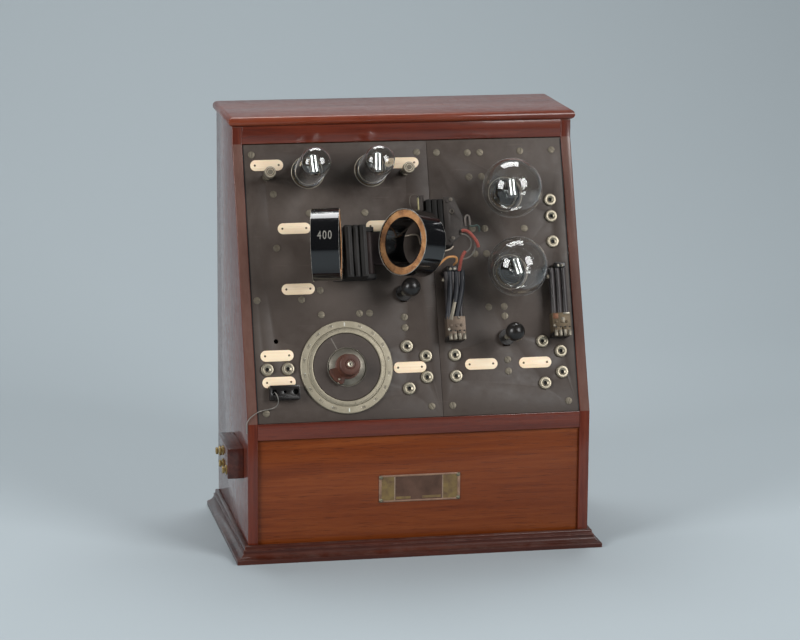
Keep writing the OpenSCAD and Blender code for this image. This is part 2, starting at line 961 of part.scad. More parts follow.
// The wound mass under the outer layer.
module large_coil_core() {
    color("tan")
        at_large_coil()
            ring_about_x(
                winding_w + 2 * wire_r, core_r(large_coil_d), coil_bore_d / 2 + former_t + winding_fit);
}

module large_coil_winding() {
    color("tan")
        at_large_coil()
            outer_layer(large_coil_d);
}

module large_coil_plug() {
    color("dimgray")
        at_large_coil()
            coil_plug(large_coil_d, large_lift);
}

module small_coil_band() {
    color("black")
        at_small_coil()
            coil_band(small_coil_d);
}

module small_coil_winding() {
    color("tan")
        at_small_coil()
            ring_about_x(
                winding_w,
                small_coil_d / 2 - rim_t - winding_fit,
                coil_bore_d / 2 + former_t + winding_fit
            );
}

module small_coil_plug() {
    color("dimgray")
        at_small_coil()
            coil_plug(small_coil_d, small_lift);
}

module lead_block() {
    color("black")
        on_panel()
            block(
                [lead_block_u[0], lead_block_v[0], 0],
                [lead_block_u[1], lead_block_v[1], lead_block_h]
            );
}

// The tag plate on the block, with two rivets, and a clip with its screw on the left.
module lead_plate() {
    color("gray")
        on_panel() {
            translate([0, 0, lead_block_h])
                linear_extrude(lead_plate_t)
                    difference() {
                        polygon([
                            [33, 225.5], [44, 225.5], [56.5, 194],
                            [53, 187], [37.5, 174.5], [33, 176]
                        ]);
                        translate([41, 208])
                            circle(r = 1.8);
                    }
            for (p = [[37, 221], [38.5, 180]])
                translate([p[0], p[1], lead_block_h])
                    cylinder(h = 3, r = 2);
            translate([8, 210, 16])
                cube([7, 20, 1.6]);
            translate([11, 213, 21])
                rotate([-90, 0, 0])
                    cylinder(h = 14, r = 2.6);
            translate([9, 213, 17])
                cube([4, 4, 3]);
        }
}

module valve_holder(ring_r, ring_h) {
    low = cap_low - 1 - valve_socket_t;
    difference() {
        cylinder(h = ring_h, r = ring_r);
        translate([0, 0, -1])
            cylinder(h = 4, r = valve_hole_r - 0.3);
    }
    translate([0, 0, low])
        difference() {
            cylinder(h = valve_socket_t, r = valve_socket_r);
            for (turn = [0:90:270])
                rotate([0, 0, turn])
                    translate([pin_circle_r, 0, -1])
                        cylinder(h = valve_socket_t + 2, r = valve_pin_bore_r);
        }
    for (side = [-1, 1])
        translate([side * valve_socket_r - side * 2, 0, cap_low - 1])
            cylinder(h = -panel_t - cap_low + 1, r = 1.6);
}

// Valve sockets on pillars behind the panel, and the ring round each valve's hole.
module valve_holders() {
    color("silver") {
        for (p = tube_valves)
            at(p)
                valve_holder(17.4, 0.8);
        for (p = globe_valves)
            at(p)
                valve_holder(19.5, 1.5);
    }
}

// A tubular bulb's dome is a half ellipse.
function dome(r, rise, from, to, n) =
    [for (i = [0:n]) let (a = from + (to - from) * i / n) [r * cos(a), tube_dome_h + rise * sin(a)]];

// A bulb is a turned shell. Its profile has the outer wall and the inner wall.
module tube_glass() {
    r = tube_bulb_d / 2;
    outer = concat([[13.5, cap_high - 4], [13.5, cap_high], [r, 4]], dome(r, dome_rise, 0, 90, 12));
    ri = r - glass_t;
    inner = concat(
        dome(ri, dome_rise - glass_t, 90, 0, 12), [[ri, 4], [12.5, cap_high], [12.5, cap_high - 4]]);
    rotate_extrude()
        polygon(concat(outer, inner));
}

module globe_glass() {
    r = globe_d / 2;
    ri = r - glass_t;
    neck = -acos(globe_neck_r / r);
    neck_in = -acos((globe_neck_r - glass_t) / ri);
    outer = concat([[13.5, cap_high - 4]], arc([0, globe_h], r, neck, 90, 22));
    inner = concat(arc([0, globe_h], ri, 90, neck_in, 22), [[12.5, cap_high - 4]]);
    rotate_extrude()
        polygon(concat(outer, inner));
}

// The brass cap with four pins, the glass stem, and the tube of the anode on two wires, with
// the filament through it between two more.
module valve_mount(centre_h, anode_len, lean) {
    end = anode_len / 2 + 1.2;
    color("silver") {
        difference() {
            translate([0, 0, cap_low])
                cylinder(h = cap_high - cap_low, r = cap_r);
            translate([0, 0, cap_high - 4])
                difference() {
                    cylinder(h = 5, r = 13.6);
                    translate([0, 0, -1])
                        cylinder(h = 7, r = 12.4);
                }
        }
        for (turn = [0:90:270])
            rotate([0, 0, turn])
                translate([pin_circle_r, 0, cap_low - valve_pin_len])
                    cylinder(h = valve_pin_len + 1, r = valve_pin_r);
        translate([0, 0, cap_high - 1])
            cylinder(h = centre_h - 12 - cap_high, r = 5);
        translate([0, 0, centre_h])
            rotate([0, 0, lean]) {
                rotate([90, 0, 0])
                    difference() {
                        cylinder(h = anode_len, r = anode_r, center = true);
                        cylinder(h = anode_len + 2, r = anode_r - 0.5, center = true);
                    }
                translate([-1.5, -end - 0.8, -14])
                    cube([3, 2 * end + 1.6, 2]);
                for (y = [-4, 4])
                    translate([0, y, -13])
                        cylinder(h = 13.2 - anode_r, r = 0.5);
                for (y = [-end, end])
                    translate([0, y, -13])
                        cylinder(h = 13.4, r = 0.5);
                rotate([90, 0, 0])
                    cylinder(h = 2 * end, r = 0.4, center = true);
            }
    }
}

module valve_1_glass() {
    color("lightcyan", 0.4)
        at(tube_valves[0])
            tube_glass();
}

module valve_1_mount() {
    at(tube_valves[0])
        valve_mount(tube_anode_h, tube_anode_len, anode_leans[0]);
}

module valve_2_glass() {
    color("lightcyan", 0.4)
        at(tube_valves[1])
            tube_glass();
}

module valve_2_mount() {
    at(tube_valves[1])
        valve_mount(tube_anode_h, tube_anode_len, anode_leans[1]);
}

module valve_3_glass() {
    color("lightcyan", 0.4)
        at(globe_valves[0])
            globe_glass();
}

module valve_3_mount() {
    at(globe_valves[0])
        valve_mount(globe_h, globe_anode_len, anode_leans[2]);
}

module valve_4_glass() {
    color("lightcyan", 0.4)
        at(globe_valves[1])
            globe_glass();
}

module valve_4_mount() {
    at(globe_valves[1])
        valve_mount(globe_h, globe_anode_len, anode_leans[3]);
}

// Two amplifier transformers on the bottom board: a core and a winding each.
module transformers() {
    color("darkslategray")
        for (x = [40, 105])
            translate([x, 20, bottom_t]) {
                difference() {
                    cube([48, 30, 46]);
                    translate([10, -1, 9])
                        cube([28, 32, 28]);
                }
                translate([19, -6, 8.5])
                    cube([10, 42, 29]);
            }
}

// Each rheostat: a top block, a foot block and three tubes between them.
module rheostat_frames() {
    color("dimgray")
        for (u = rheostat_u)
            on_panel() {
                block([u - 10.5, rheostat_high_v - 8, 0], [u + 10.5, rheostat_high_v, 22]);
                block([u - 10.5, rheostat_low_v - 6, 0], [u + 10.5, rheostat_low_v, 19]);
                for (i = [-1:1])
                    translate([u + i * rheostat_tube_gap, rheostat_low_v, rheostat_tube_h])
                        rotate([-90, 0, 0])
                            cylinder(h = rheostat_high_v - 8 - rheostat_low_v, r = rheostat_tube_r);
            }
}

// The brass slider: a block on the three tubes with two finger tabs.
module slider(u) {
    color("peru")
        on_panel()
            difference() {
                union() {
                    block([u - 11.5, slider_v, 6], [u + 11.5, slider_v + slider_len, 20]);
                    for (side = [-1, 1])
                        translate([u + side * 5 - 4, slider_v - 3, 20])
                            cube([8, 8, 4]);
                    for (side = [-1, 1])
                        translate([u + side * 5 - 4, slider_v, 18])
                            cube([8, 5, 6]);
                }
                for (i = [-1:1])
                    translate([u + i * rheostat_tube_gap, slider_v - 1, rheostat_tube_h])
                        rotate([-90, 0, 0])
                            cylinder(h = slider_len + 2, r = rheostat_tube_r + 0.08);
            }
}

module left_slider() {
    slider(rheostat_u[0]);
}

module right_slider() {
    slider(rheostat_u[1]);
}

// Frames of the lever keys behind the panel.
module key_frames() {
    color("goldenrod")
        for (p = keys)
            at(p)
                for (side = [-1, 1])
                    difference() {
                        translate([side * 8 - 1.5, -32, -26])
                            cube([3, 64, 20]);
                        translate([side * 8, 0, key_pivot_h])
                            rotate([0, 90, 0])
                                cylinder(h = 6, r = key_pin_r + 0.05, center = true);
                    }
}

// A lever with its black ball and a collar over the slot, on a pin in the frame.
module lever_key(p) {
    color("black")
        at(p) {
            translate([0, 0, key_pivot_h])
                cylinder(h = key_ball_h - key_pivot_h - 8, r = key_stem_r);
            translate([0, 0, key_ball_h])
                sphere(r = key_ball_r);
            translate([0, 0, key_collar_h])
                cylinder(h = 1.2, r = key_collar_r);
            translate([-9, 0, key_pivot_h])
                rotate([0, 90, 0])
                    cylinder(h = 18, r = key_pin_r);
            translate([-6, 0, key_pivot_h])
                rotate([0, 90, 0])
                    cylinder(h = 12, r = 4.6);
        }
}

module left_key() {
    lever_key(keys[0]);
}

module right_key() {
    lever_key(keys[1]);
}

module terminal_studs() {
    color("silver")
        for (p = studs)
            at(p) {
                cylinder(h = 7, r = stud_foot_r);
                translate([0, 0, -panel_t - 6])
                    cylinder(h = stud_top_h + panel_t + 6, r = stud_r);
                translate([0, 0, -panel_t - 3])
                    cylinder(h = 3, r = 5.5, $fn = 6);
            }
}

// A knurled nut on a terminal stud.
module knurled_nut(p) {
    ridges = 24;
    color("silver")
        at(p)
            translate([0, 0, nut_low])
                difference() {
                    linear_extrude(nut_high - nut_low)
                        polygon([
                            for (i = [0:2 * ridges - 1])
                                (nut_r - (i % 2) * 0.5) * [cos(180 * i / ridges), sin(180 * i / ridges)]
                        ]);
                    translate([0, 0, -1])
                        cylinder(h = 20, r = stud_r + 0.06);
                }
}

module left_nut() {
    knurled_nut(studs[0]);
}

module right_nut() {
    knurled_nut(studs[1]);
}

module leads(routes) {
    on_panel()
        for (route = routes)
            tube(smooth(route, 2), lead_r, 8);
}

// Two flexible leads from the swinging coil's holder.
module coil_leads() {
    color("orange")
        leads([orange_route, white_route]);
}

// Leads from the tag plate to the rheostat.
module tag_leads() {
    color("orangered")
        leads([red_route, grey_route]);
}

module loose_wire() {
    color("gray")
        on_panel()
            tube(smooth(loose_route, 2), wire_d / 2, 8);
}

left_side();
right_side();
lid();
frieze_rail();
front_rail();
front_board();
base_moulding();
bottom_board();
back_board();
panel_battens();
name_plate();
plate_pins();
side_block();
side_terminals();
tuning_panel();
amplifier_panel();
screws();
label_plates();
plug_sockets();
socket_block();
scale_ring();
dial_disc();
knob_plate();
tuning_knob();
condenser_frame();
condenser_stator();
condenser_rotor();
coil_stand();
left_coil_arm();
right_coil_arm();
large_coil_band();
large_coil_core();
large_coil_winding();
large_coil_plug();
small_coil_band();
small_coil_winding();
small_coil_plug();
lead_block();
lead_plate();
valve_holders();
valve_1_glass();
valve_1_mount();
valve_2_glass();
valve_2_mount();
valve_3_glass();
valve_3_mount();
valve_4_glass();
valve_4_mount();
transformers();
rheostat_frames();
left_slider();
right_slider();
key_frames();
left_key();
right_key();
terminal_studs();
left_nut();
right_nut();
coil_leads();
tag_leads();
loose_wire();
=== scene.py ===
"""Dresses the early valve receiver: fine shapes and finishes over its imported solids."""

import math

import bmesh
import bpy
from mathutils import Matrix, Vector


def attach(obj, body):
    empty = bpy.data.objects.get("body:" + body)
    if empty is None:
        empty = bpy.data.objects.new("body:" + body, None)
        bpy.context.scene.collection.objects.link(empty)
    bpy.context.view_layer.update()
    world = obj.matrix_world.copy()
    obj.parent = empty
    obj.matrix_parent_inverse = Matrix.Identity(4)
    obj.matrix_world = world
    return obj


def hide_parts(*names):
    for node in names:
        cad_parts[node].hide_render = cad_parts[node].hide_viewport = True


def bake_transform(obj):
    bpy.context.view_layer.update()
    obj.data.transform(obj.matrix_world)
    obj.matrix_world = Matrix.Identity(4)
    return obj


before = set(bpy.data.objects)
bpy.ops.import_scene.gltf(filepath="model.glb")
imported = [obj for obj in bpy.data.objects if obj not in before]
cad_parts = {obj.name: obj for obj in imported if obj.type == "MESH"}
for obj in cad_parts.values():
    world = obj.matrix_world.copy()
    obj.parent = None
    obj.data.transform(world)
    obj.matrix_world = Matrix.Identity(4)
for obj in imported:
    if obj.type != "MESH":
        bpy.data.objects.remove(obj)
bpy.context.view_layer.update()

bl_info = {
    "name": "Sloping-Front Receiver",
    "version": (1, 0, 0),
    "blender": (4, 5, 0),
    "location": "View3D > Sidebar > Receiver",
    "description": "Fine shapes and finishes for a valve receiver in a mahogany cabinet",
    "category": "Object",
}

# Panel coordinates are u across, v up the slope and h out of the panels, in millimetres.
MM = 0.001
PANEL_FOOT_Z = 145.0
TILT = math.atan2(102.5, 273.0)
ACROSS = Vector((1.0, 0.0, 0.0))
SLOPE = Vector((0.0, math.sin(TILT), math.cos(TILT)))
OUT = Vector((0.0, -math.cos(TILT), math.sin(TILT)))
FRONT_Y = -104.0
PANEL_SINK = 1.5
OPENING_HALF_W = 169.5

SOCKETS = (
    (153, 224.5), (153, 207), (153, 180), (-156.5, 56), (-135, 56), (-9.7, 75), (9.8, 64), (9.8, 42),
    (-9.7, 31), (40.5, 64), (40.5, 42), (134.5, 75), (153.5, 64), (153.5, 42), (134.5, 31),
)
LABELS = (
    (-145, 269), (-2, 268), (-120, 202), (-27.5, 202), (-119.5, 138.5),
    (-145.5, 70), (-7.6, 53), (68, 53.5), (125.5, 53), (-145, 42.5),
)
PANEL_SCREWS = (
    (-160.5, 280.5), (14, 279), (35, 278), (124.5, 277.5), (158.5, 278),
    (-139.5, 182), (-163, 128), (-160, 11), (13, 11.5), (35, 11.5), (158.5, 11.5),
    (-116.5, 127.5), (-96.7, 136.5), (-97, 111), (-57, 111), (-46.5, 111),
    (68, 277), (81.3, 277), (68, 251.3), (81.3, 251.3), (68, 196), (81.3, 196),
    (69, 169.5), (81.5, 169.5), (123.7, 195), (-10, 105.5), (-10, 94.5), (-10, 169.5), (-10, 158.5),
    (96.5, 113), (96.5, 103), (96.5, 57), (96.5, 45), (80, 113), (-139.7, 238.5), (-103.3, 217.5),
    (-44.8, 216.5),
)
DIAL = (-74, 55.5)
TUBE_VALVES = ((-102.5, 260.5), (-36, 261))
GLOBE_VALVES = ((104.5, 231), (104.5, 148.5))
KEYS = ((-9.6, 130.3), (96.5, 80.3))
RHEOSTATS = ((40.5, 39.9), (152.3, 154.6))
SLIDER_LOW = 82
TUBE_GAP = 6.2
TUBE_H = 13
# A panel screw's radius, height, slot width and slot depth.
PANEL_SCREW = (3.6, 0.75, 0.85, 0.45)
BAND_HALF_W = 14.2
# The radius of the bend between floor and backdrop, in metres.
BEND_R = 1.4
VIEW_TARGET = Vector((-0.002413, -0.004, 0.226653))
STUDS = ((-146, 256.5), (-0.8, 257.8))
FIGURE_TURN = 5.5
LOOSE_ROUTE = (
    (-151.5, 31.5, 6), (-151.5, 31.5, 9), (-151, 30.5, 12), (-149.5, 27, 13.5), (-148.5, 22.5, 11.5),
    (-149, 18.5, 7.5), (-152.5, 16, 3.5), (-157.5, 15, 1.8), (-163, 14.2, 1.8), (-168, 12.8, 2.6),
    (-173, 10, 3.2), (-178, 6, 3.4), (-180.8, 1.5, 2.4), (-181.2, -3.5, 0.4), (-180.7, -8.5, -2.6),
)
ORANGE_ROUTE = (
    (-23.48, 166, 6.73), (-22.74, 166, 6.21), (-22.01, 166, 5.7), (-19.5, 164.6, 4.3), (-10, 159, 3.5),
    (3, 151.5, 5.5), (11, 147, 10.5), (18.9, 149.7, 17), (24.2, 154.9, 21.5), (32.6, 161.7, 26.5),
    (38.2, 162.8, 28), (42.9, 161.9, 27.5), (44.2, 158.5, 23), (43.4, 157, 17.5), (42.8, 155.9, 13.5),
)
WHITE_ROUTE = (
    (-23.48, 184, 6.73), (-22.74, 184, 6.21), (-22.01, 184, 5.7), (-18, 186, 3.6), (-12, 189, 2.8),
    (-5, 190, 2.6), (3, 191.2, 2.8), (8.2, 190.6, 3), (10, 187, 4), (10.5, 180, 8), (14, 172.5, 16),
    (19.5, 169, 24), (25, 168, 29.5), (32, 168.6, 32.6), (37, 170.4, 31.8), (40, 173.2, 29.8),
)
SLEEVE_ROUTES = (
    ((50, 188.8, 30.5), (52.5, 189.4, 31.4), (56.5, 187.3, 33), (60.8, 182.2, 34), (64.4, 176.4, 33.8),
     (66.2, 171.4, 32)),
    ((53, 168.2, 27.5), (50.4, 164.6, 27), (48.6, 160.2, 25.5), (47.9, 155.6, 22.6), (47.5, 151.6, 19.2),
     (47.3, 149.8, 17.7)),
)
TAG_WIRE_ROUTES = (
    ((49.6, 186.4, 29.2), (54, 184.6, 30.5), (58, 181, 30.5), (59.3, 176.5, 29.5), (58.4, 172, 28.5),
     (55.6, 168.6, 27.8), (52, 166.8, 27.2)),
    ((62, 180.4, 33.6), (63.2, 176.5, 31.5), (62.6, 169, 28.5), (58.6, 163.4, 27), (53.4, 160.8, 26),
     (48.8, 160.6, 25.6)),
)
SPLAYED_SLEEVES = (
    ((37.6, 150, 14.5), (37.2, 140, 15), (36.2, 126, 16), (32.4, 99.5, 16.4)),
    ((44.6, 150, 14.5), (44.2, 140, 15.2), (43.2, 128, 16.2), (40.6, 116.5, 17)),
    ((51, 150, 14.5), (50.4, 140, 15), (48.4, 127, 15.8), (41.4, 100, 16.2)),
)
LUG_ROUTE = (
    (54.6, 194.5, 29), (54.4, 200, 29.6), (55.2, 204.2, 30), (57, 205.2, 30), (58.8, 204, 30),
    (59.4, 199, 29.6), (59.4, 194.5, 29),
)
TEAL_ROUTE = ((58.4, 195, 29), (62, 193.4, 30.6), (66, 194.4, 31.2), (68.6, 192.4, 30.4), (69, 188, 28))
CLIP_WIRE_ROUTE = (
    (9.2, 227, 20), (7.5, 230, 20), (3.5, 230.4, 20), (0.2, 228.4, 20), (-0.9, 222.6, 20),
    (0.5, 216.8, 18), (2.5, 213, 10), (3, 212, 1.5),
)


# Places

def on_panel(u=0.0, v=0.0, h=0.0):
    """Turns millimetres about a point of the panels into metres in the room."""
    axes = Matrix((ACROSS, SLOPE, OUT)).transposed().to_4x4()
    foot = Vector((0.0, FRONT_Y, PANEL_FOOT_Z)) - PANEL_SINK * OUT
    return Matrix.Scale(MM, 4) @ Matrix.Translation(foot) @ axes @ Matrix.Translation((u, v, h))


def in_room(x=0.0, y=0.0, z=0.0):
    """Turns millimetres about a point of the room into metres."""
    return Matrix.Scale(MM, 4) @ Matrix.Translation((x, y, z))


def turn(angle, axis):
    """A turn in degrees about an axis."""
    return Matrix.Rotation(math.radians(angle), 4, axis)


def point(u, v, h):
    """A place on the panels, in metres in the room."""
    return on_panel() @ Vector((u, v, h))


def large_coil_place():
    """The large coil on its swung arm, a little crooked on its plug."""
    hinge = on_panel(-77.5, 0, 9) @ turn(-12.5, "Y")
    return hinge @ Matrix.Translation((-8.4, 174.3, 53)) @ turn(-2.2, "Z")


def small_coil_place():
    """The small coil on its swung arm."""
    return on_panel(-44.5, 0, 9) @ turn(35, "Y") @ Matrix.Translation((12.5, 176, 50))


# Shapes

def recalc(bm):
    """Turns the faces outwards."""
    bmesh.ops.recalc_face_normals(bm, faces=bm.faces[:])
    return bm


def soften(bm, width, segments=2, sharper_than=30, choose=None):
    """Bevels the edges that are sharper than an angle."""
    limit = math.radians(sharper_than)
    edges = [
        e for e in bm.edges
        if len(e.link_faces) == 2 and e.calc_face_angle(0.0) > limit and (choose is None or choose(e))
    ]
    if edges and width > 0:
        bmesh.ops.bevel(
            bm, geom=edges, offset=width, offset_type="OFFSET", segments=segments, profile=0.5,
            affect="EDGES", clamp_overlap=True, material=-1)
    return bm


def turned(profile, steps=48, closed=False):
    """A shape turned about z from points of radius and height."""
    bm = bmesh.new()
    verts = [bm.verts.new((r, 0.0, z)) for r, z in profile]
    edges = [bm.edges.new(pair) for pair in zip(verts, verts[1:])]
    if closed:
        edges.append(bm.edges.new((verts[-1], verts[0])))
    bmesh.ops.spin(
        bm, geom=verts + edges, cent=(0, 0, 0), axis=(0, 0, 1), dvec=(0, 0, 0),
        angle=math.tau, steps=steps, use_merge=True, use_duplicate=False)
    bmesh.ops.remove_doubles(bm, verts=bm.verts[:], dist=0.0005)
    return recalc(bm)


def block(low, high, edge=0.5, segments=2):
    """A block between two corners with its edges eased."""
    size = [b - a for a, b in zip(low, high)]
    middle = [(a + b) / 2 for a, b in zip(low, high)]
    bm = bmesh.new()
    bmesh.ops.create_cube(bm, size=1.0)
    bmesh.ops.scale(bm, vec=size, verts=bm.verts[:])
    bmesh.ops.translate(bm, vec=middle, verts=bm.verts[:])
    return soften(bm, edge, segments)


def drawn_out(bm, path):
    """Draws flat faces out into a solid."""
    out = bmesh.ops.extrude_face_region(bm, geom=bm.faces[:])
    moved = [g for g in out["geom"] if isinstance(g, bmesh.types.BMVert)]
    bmesh.ops.translate(bm, vec=path, verts=moved)
    return recalc(bm)


def plate(outline, low, high, edge=0.3, segments=2):
    """A flat plate of any outline with its edges eased."""
    bm = bmesh.new()
    bm.faces.new([bm.verts.new((x, y, low)) for x, y in outline])
    return soften(drawn_out(bm, (0, 0, high - low)), edge, segments)


def arc(radius, rise, height, start, end, steps):
    """Points of radius and height along an arc between two angles in degrees."""
    turns = [math.radians(start + (end - start) * i / steps) for i in range(steps + 1)]
    return [(radius * math.cos(a), height + rise * math.sin(a)) for a in turns]


def rod(radius, low, high, edge=0.2, steps=24):
    """A round rod along z with eased ends."""
    return turned([
        (0, low), (radius - edge, low), (radius, low + edge), (radius, high - edge), (radius - edge, high),
        (0, high)], steps)


def ball(radius, height, steps=48):
    """A round ball on z."""
    bm = bmesh.new()
    bmesh.ops.create_uvsphere(bm, u_segments=steps, v_segments=steps // 2, radius=radius)
    bmesh.ops.translate(bm, vec=(0, 0, height), verts=bm.verts[:])
    return bm


def smooth_route(route, steps=6):
    """A smooth curve through the points of a route."""
    out = []
    last = len(route) - 1
    for i in range(last):
        a, b, c, d = (Vector(route[min(max(j, 0), last)]) for j in (i - 1, i, i + 1, i + 2))
        for k in range(steps):
            t = k / steps
            out.append(0.5 * (
                2 * b + (c - a) * t + (2 * a - 5 * b + 4 * c - d) * t * t + (3 * b - a - 3 * c + d) * t ** 3))
    return out + [Vector(route[-1])]


def line_curve(name, points, radius, sides=2):
    """A round curve through points, as curve data."""
    curve = bpy.data.curves.new(name, "CURVE")
    curve.dimensions = "3D"
    curve.bevel_depth = radius
    curve.bevel_resolution = sides
    curve.use_fill_caps = True
    spline = curve.splines.new("POLY")
    spline.points.add(len(points) - 1)
    for place, p in zip(spline.points, points):
        place.co = (p[0], p[1], p[2], 1.0)
    return curve


def curve_shape(curve):
    """A curve or text turned into a bmesh."""
    holder = bpy.data.objects.new("holder", curve)
    bpy.context.scene.collection.objects.link(holder)
    bpy.context.view_layer.update()
    mesh = bpy.data.meshes.new_from_object(holder)
    bpy.data.objects.remove(holder)
    bm = bmesh.new()
    bm.from_mesh(mesh)
    bpy.data.meshes.remove(mesh)
    return bm


def wire(points, radius, sides=2):
    """A round wire through points."""
    return curve_shape(line_curve("wire", points, radius, sides))


def digits(words, size, thick=0.1):
    """Plain figures in the xy plane, centred."""
    text = bpy.data.curves.new("figures", "FONT")
    text.body = words
    text.size = size
    text.align_x = "CENTER"
    text.align_y = "CENTER"
    text.extrude = thick
    return curve_shape(text)


def gather(whole, part, place=None, material=0):
    """Adds a part to a piece, put in its place."""
    for face in part.faces:
        face.material_index = material
    if place is not None:
        part.transform(place)
    mesh = bpy.data.meshes.new("part")
    part.to_mesh(mesh)
    part.free()
    whole.from_mesh(mesh)
    bpy.data.meshes.remove(mesh)


def lay(whole, route, radius, sides, material, steps=6):
    """Adds a wire that runs smoothly along a route over the panels."""
    gather(whole, wire(smooth_route(route, steps), radius, sides), on_panel(), material)


def stand_in(name, bm, body, finishes, nodes=(), sharp=32):
    """Makes a finished piece that rides on a body and stands for CAD nodes."""
    mesh = bpy.data.meshes.new(name)
    bm.to_mesh(mesh)
    bm.free()
    for look in finishes:
        mesh.materials.append(finish(look))
    mesh.shade_smooth()
    mesh.set_sharp_from_angle(angle=math.radians(sharp))
    piece = bpy.data.objects.new(name, mesh)
    bpy.context.scene.collection.objects.link(piece)
    if body:
        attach(piece, body)
    if nodes:
        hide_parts(*nodes)
    return piece


def dressed(node, bm, body, looks, sharp=32):
    """Makes the finished piece that stands for one CAD node."""
    return stand_in(node + "_dressed", bm, body, looks, [node], sharp)


def node_copy(node):
    """A merged copy of a CAD node's mesh, in metres, with its flat faces whole."""
    bm = bmesh.new()
    bm.from_mesh(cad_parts[node].data)
    bmesh.ops.remove_doubles(bm, verts=bm.verts[:], dist=2e-6)
    bmesh.ops.dissolve_limit(
        bm, angle_limit=math.radians(0.8), use_dissolve_boundaries=False,
        verts=bm.verts[:], edges=bm.edges[:])
    for face in bm.faces:
        face.material_index = 0
    return bm


def eased(node, body, look, width=0.5, segments=2, sharper_than=35, sharp=32):
    """Replaces a node by a copy with its sharp edges eased."""
    bm = soften(node_copy(node), width * MM, segments, sharper_than)
    return dressed(node, bm, body, [look], sharp)


def dress(node, look):
    """Gives a CAD node that stays a finish of its own."""
    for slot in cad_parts[node].material_slots:
        slot.material = finish(look)


# Shader helpers

def put(tree, kind, inputs=None, **settings):
    """Adds a node, sets its settings, and links or sets its inputs."""
    node = tree.nodes.new(kind)
    for key, value in settings.items():
        setattr(node, key, value)
    for key, value in (inputs or {}).items():
        if isinstance(value, bpy.types.NodeSocket):
            tree.links.new(value, node.inputs[key])
        else:
            node.inputs[key].default_value = value
    return node


def maths(tree, operation, a, b=0.0, c=0.0, clamp=False):
    """The result of an operation on up to three values."""
    node = put(tree, "ShaderNodeMath", {0: a, 1: b, 2: c}, operation=operation)
    node.use_clamp = clamp
    return node.outputs[0]


def times(tree, a, b, clamp=False):
    """The product of two values."""
    return maths(tree, "MULTIPLY", a, b, clamp=clamp)


def noise(tree, vector, scale, detail=4.0, rough=0.55, bend=0.0):
    """A noise value."""
    node = put(tree, "ShaderNodeTexNoise", {
        "Vector": vector, "Scale": scale, "Detail": detail, "Roughness": rough, "Distortion": bend})
    return node.outputs[0]


def stretch(tree, vector, scale, rotation=(0.0, 0.0, 0.0)):
    """A vector stretched and turned."""
    return put(tree, "ShaderNodeMapping", {
        "Vector": vector, "Scale": scale, "Rotation": rotation}).outputs[0]


def spread(tree, value, low, high, to_low=0.0, to_high=1.0):
    """Maps a range of a value to another range, with its ends held."""
    return put(tree, "ShaderNodeMapRange", {0: value, 1: low, 2: high, 3: to_low, 4: to_high}).outputs[0]


def colours(tree, value, stops):
    """A colour ramp from places and colours."""
    node = put(tree, "ShaderNodeValToRGB", {0: value})
    ramp = node.color_ramp
    while len(ramp.elements) < len(stops):
        ramp.elements.new(0.5)
    for element, (place, colour) in zip(ramp.elements, stops):
        element.position = place
        element.color = (*colour, 1.0)
    return node.outputs[0]


def mixed(tree, factor, a, b):
    """A colour between two others."""
    node = put(tree, "ShaderNodeMix", data_type="RGBA")
    for key, value in ((0, factor), (6, a), (7, b)):
        if isinstance(value, bpy.types.NodeSocket):
            tree.links.new(value, node.inputs[key])
        elif key == 0:
            node.inputs[key].default_value = value
        else:
            node.inputs[key].default_value = (*value, 1.0)
    return node.outputs[2]


def group(name, inputs, outputs, fill):
    """A shader group, built once, with named inputs and number outputs."""
    tree = bpy.data.node_groups.get(name)
    if tree:
        return tree
    tree = bpy.data.node_groups.new(name, "ShaderNodeTree")
    for label, kind, value in inputs:
        made = tree.interface.new_socket(name=label, in_out="INPUT", socket_type=kind)
        if value is not None:
            made.default_value = value
    for label in outputs:
        tree.interface.new_socket(name=label, in_out="OUTPUT", socket_type="NodeSocketFloat")
    start = tree.nodes.new("NodeGroupInput")
    end = tree.nodes.new("NodeGroupOutput")
    for label, value in fill(tree, start.outputs).items():
        tree.links.new(value, end.inputs[label])
    return tree


NUMBER = "NodeSocketFloat"
VECTOR = "NodeSocketVector"


def grain_group():
    """Wood grain that runs along the vector's x: fine streaks, broad bands and open pores."""
    def fill(tree, given):
        base = given["Vector"]
        streaks = noise(tree, stretch(tree, base, (9, 230, 230)), given["Figure"], 5, 0.6, 0.4)
        bands = noise(tree, stretch(tree, base, (2.2, 34, 34)), given["Figure"], 3, 0.5, 1.1)
        pores = noise(tree, stretch(tree, base, (55, 1500, 1500)), given["Figure"], 2, 0.5)
        return {
            "Streaks": spread(tree, streaks, 0.3, 0.7),
            "Bands": spread(tree, bands, 0.3, 0.7),
            "Pores": spread(tree, pores, 0.58, 0.7),
        }
    return group(
        "Wood Grain", [("Vector", VECTOR, None), ("Figure", NUMBER, 1.0)],
        ["Streaks", "Bands", "Pores"], fill)


def wear_group():
    """Rubbed edges: where a rounded normal leaves the flat one, broken up by noise."""
    def fill(tree, given):
        rounded = put(tree, "ShaderNodeBevel", {"Radius": given["Width"]}, samples=6).outputs[0]
        flat = put(tree, "ShaderNodeNewGeometry").outputs["Normal"]
        dot = put(
            tree, "ShaderNodeVectorMath", {0: rounded, 1: flat}, operation="DOT_PRODUCT").outputs["Value"]
        edge = spread(tree, maths(tree, "SUBTRACT", 1.0, dot), 0.01, 0.16)
        breaks = spread(tree, noise(tree, given["Vector"], given["Scale"], 5, 0.65), 0.38, 0.66)
        return {"Mask": times(tree, times(tree, edge, breaks), given["Amount"], clamp=True)}
    return group(
        "Rubbed Edges",
        [
            ("Vector", VECTOR, None), ("Width", NUMBER, 0.001), ("Scale", NUMBER, 120.0),
            ("Amount", NUMBER, 1.0)],
        ["Mask"], fill)


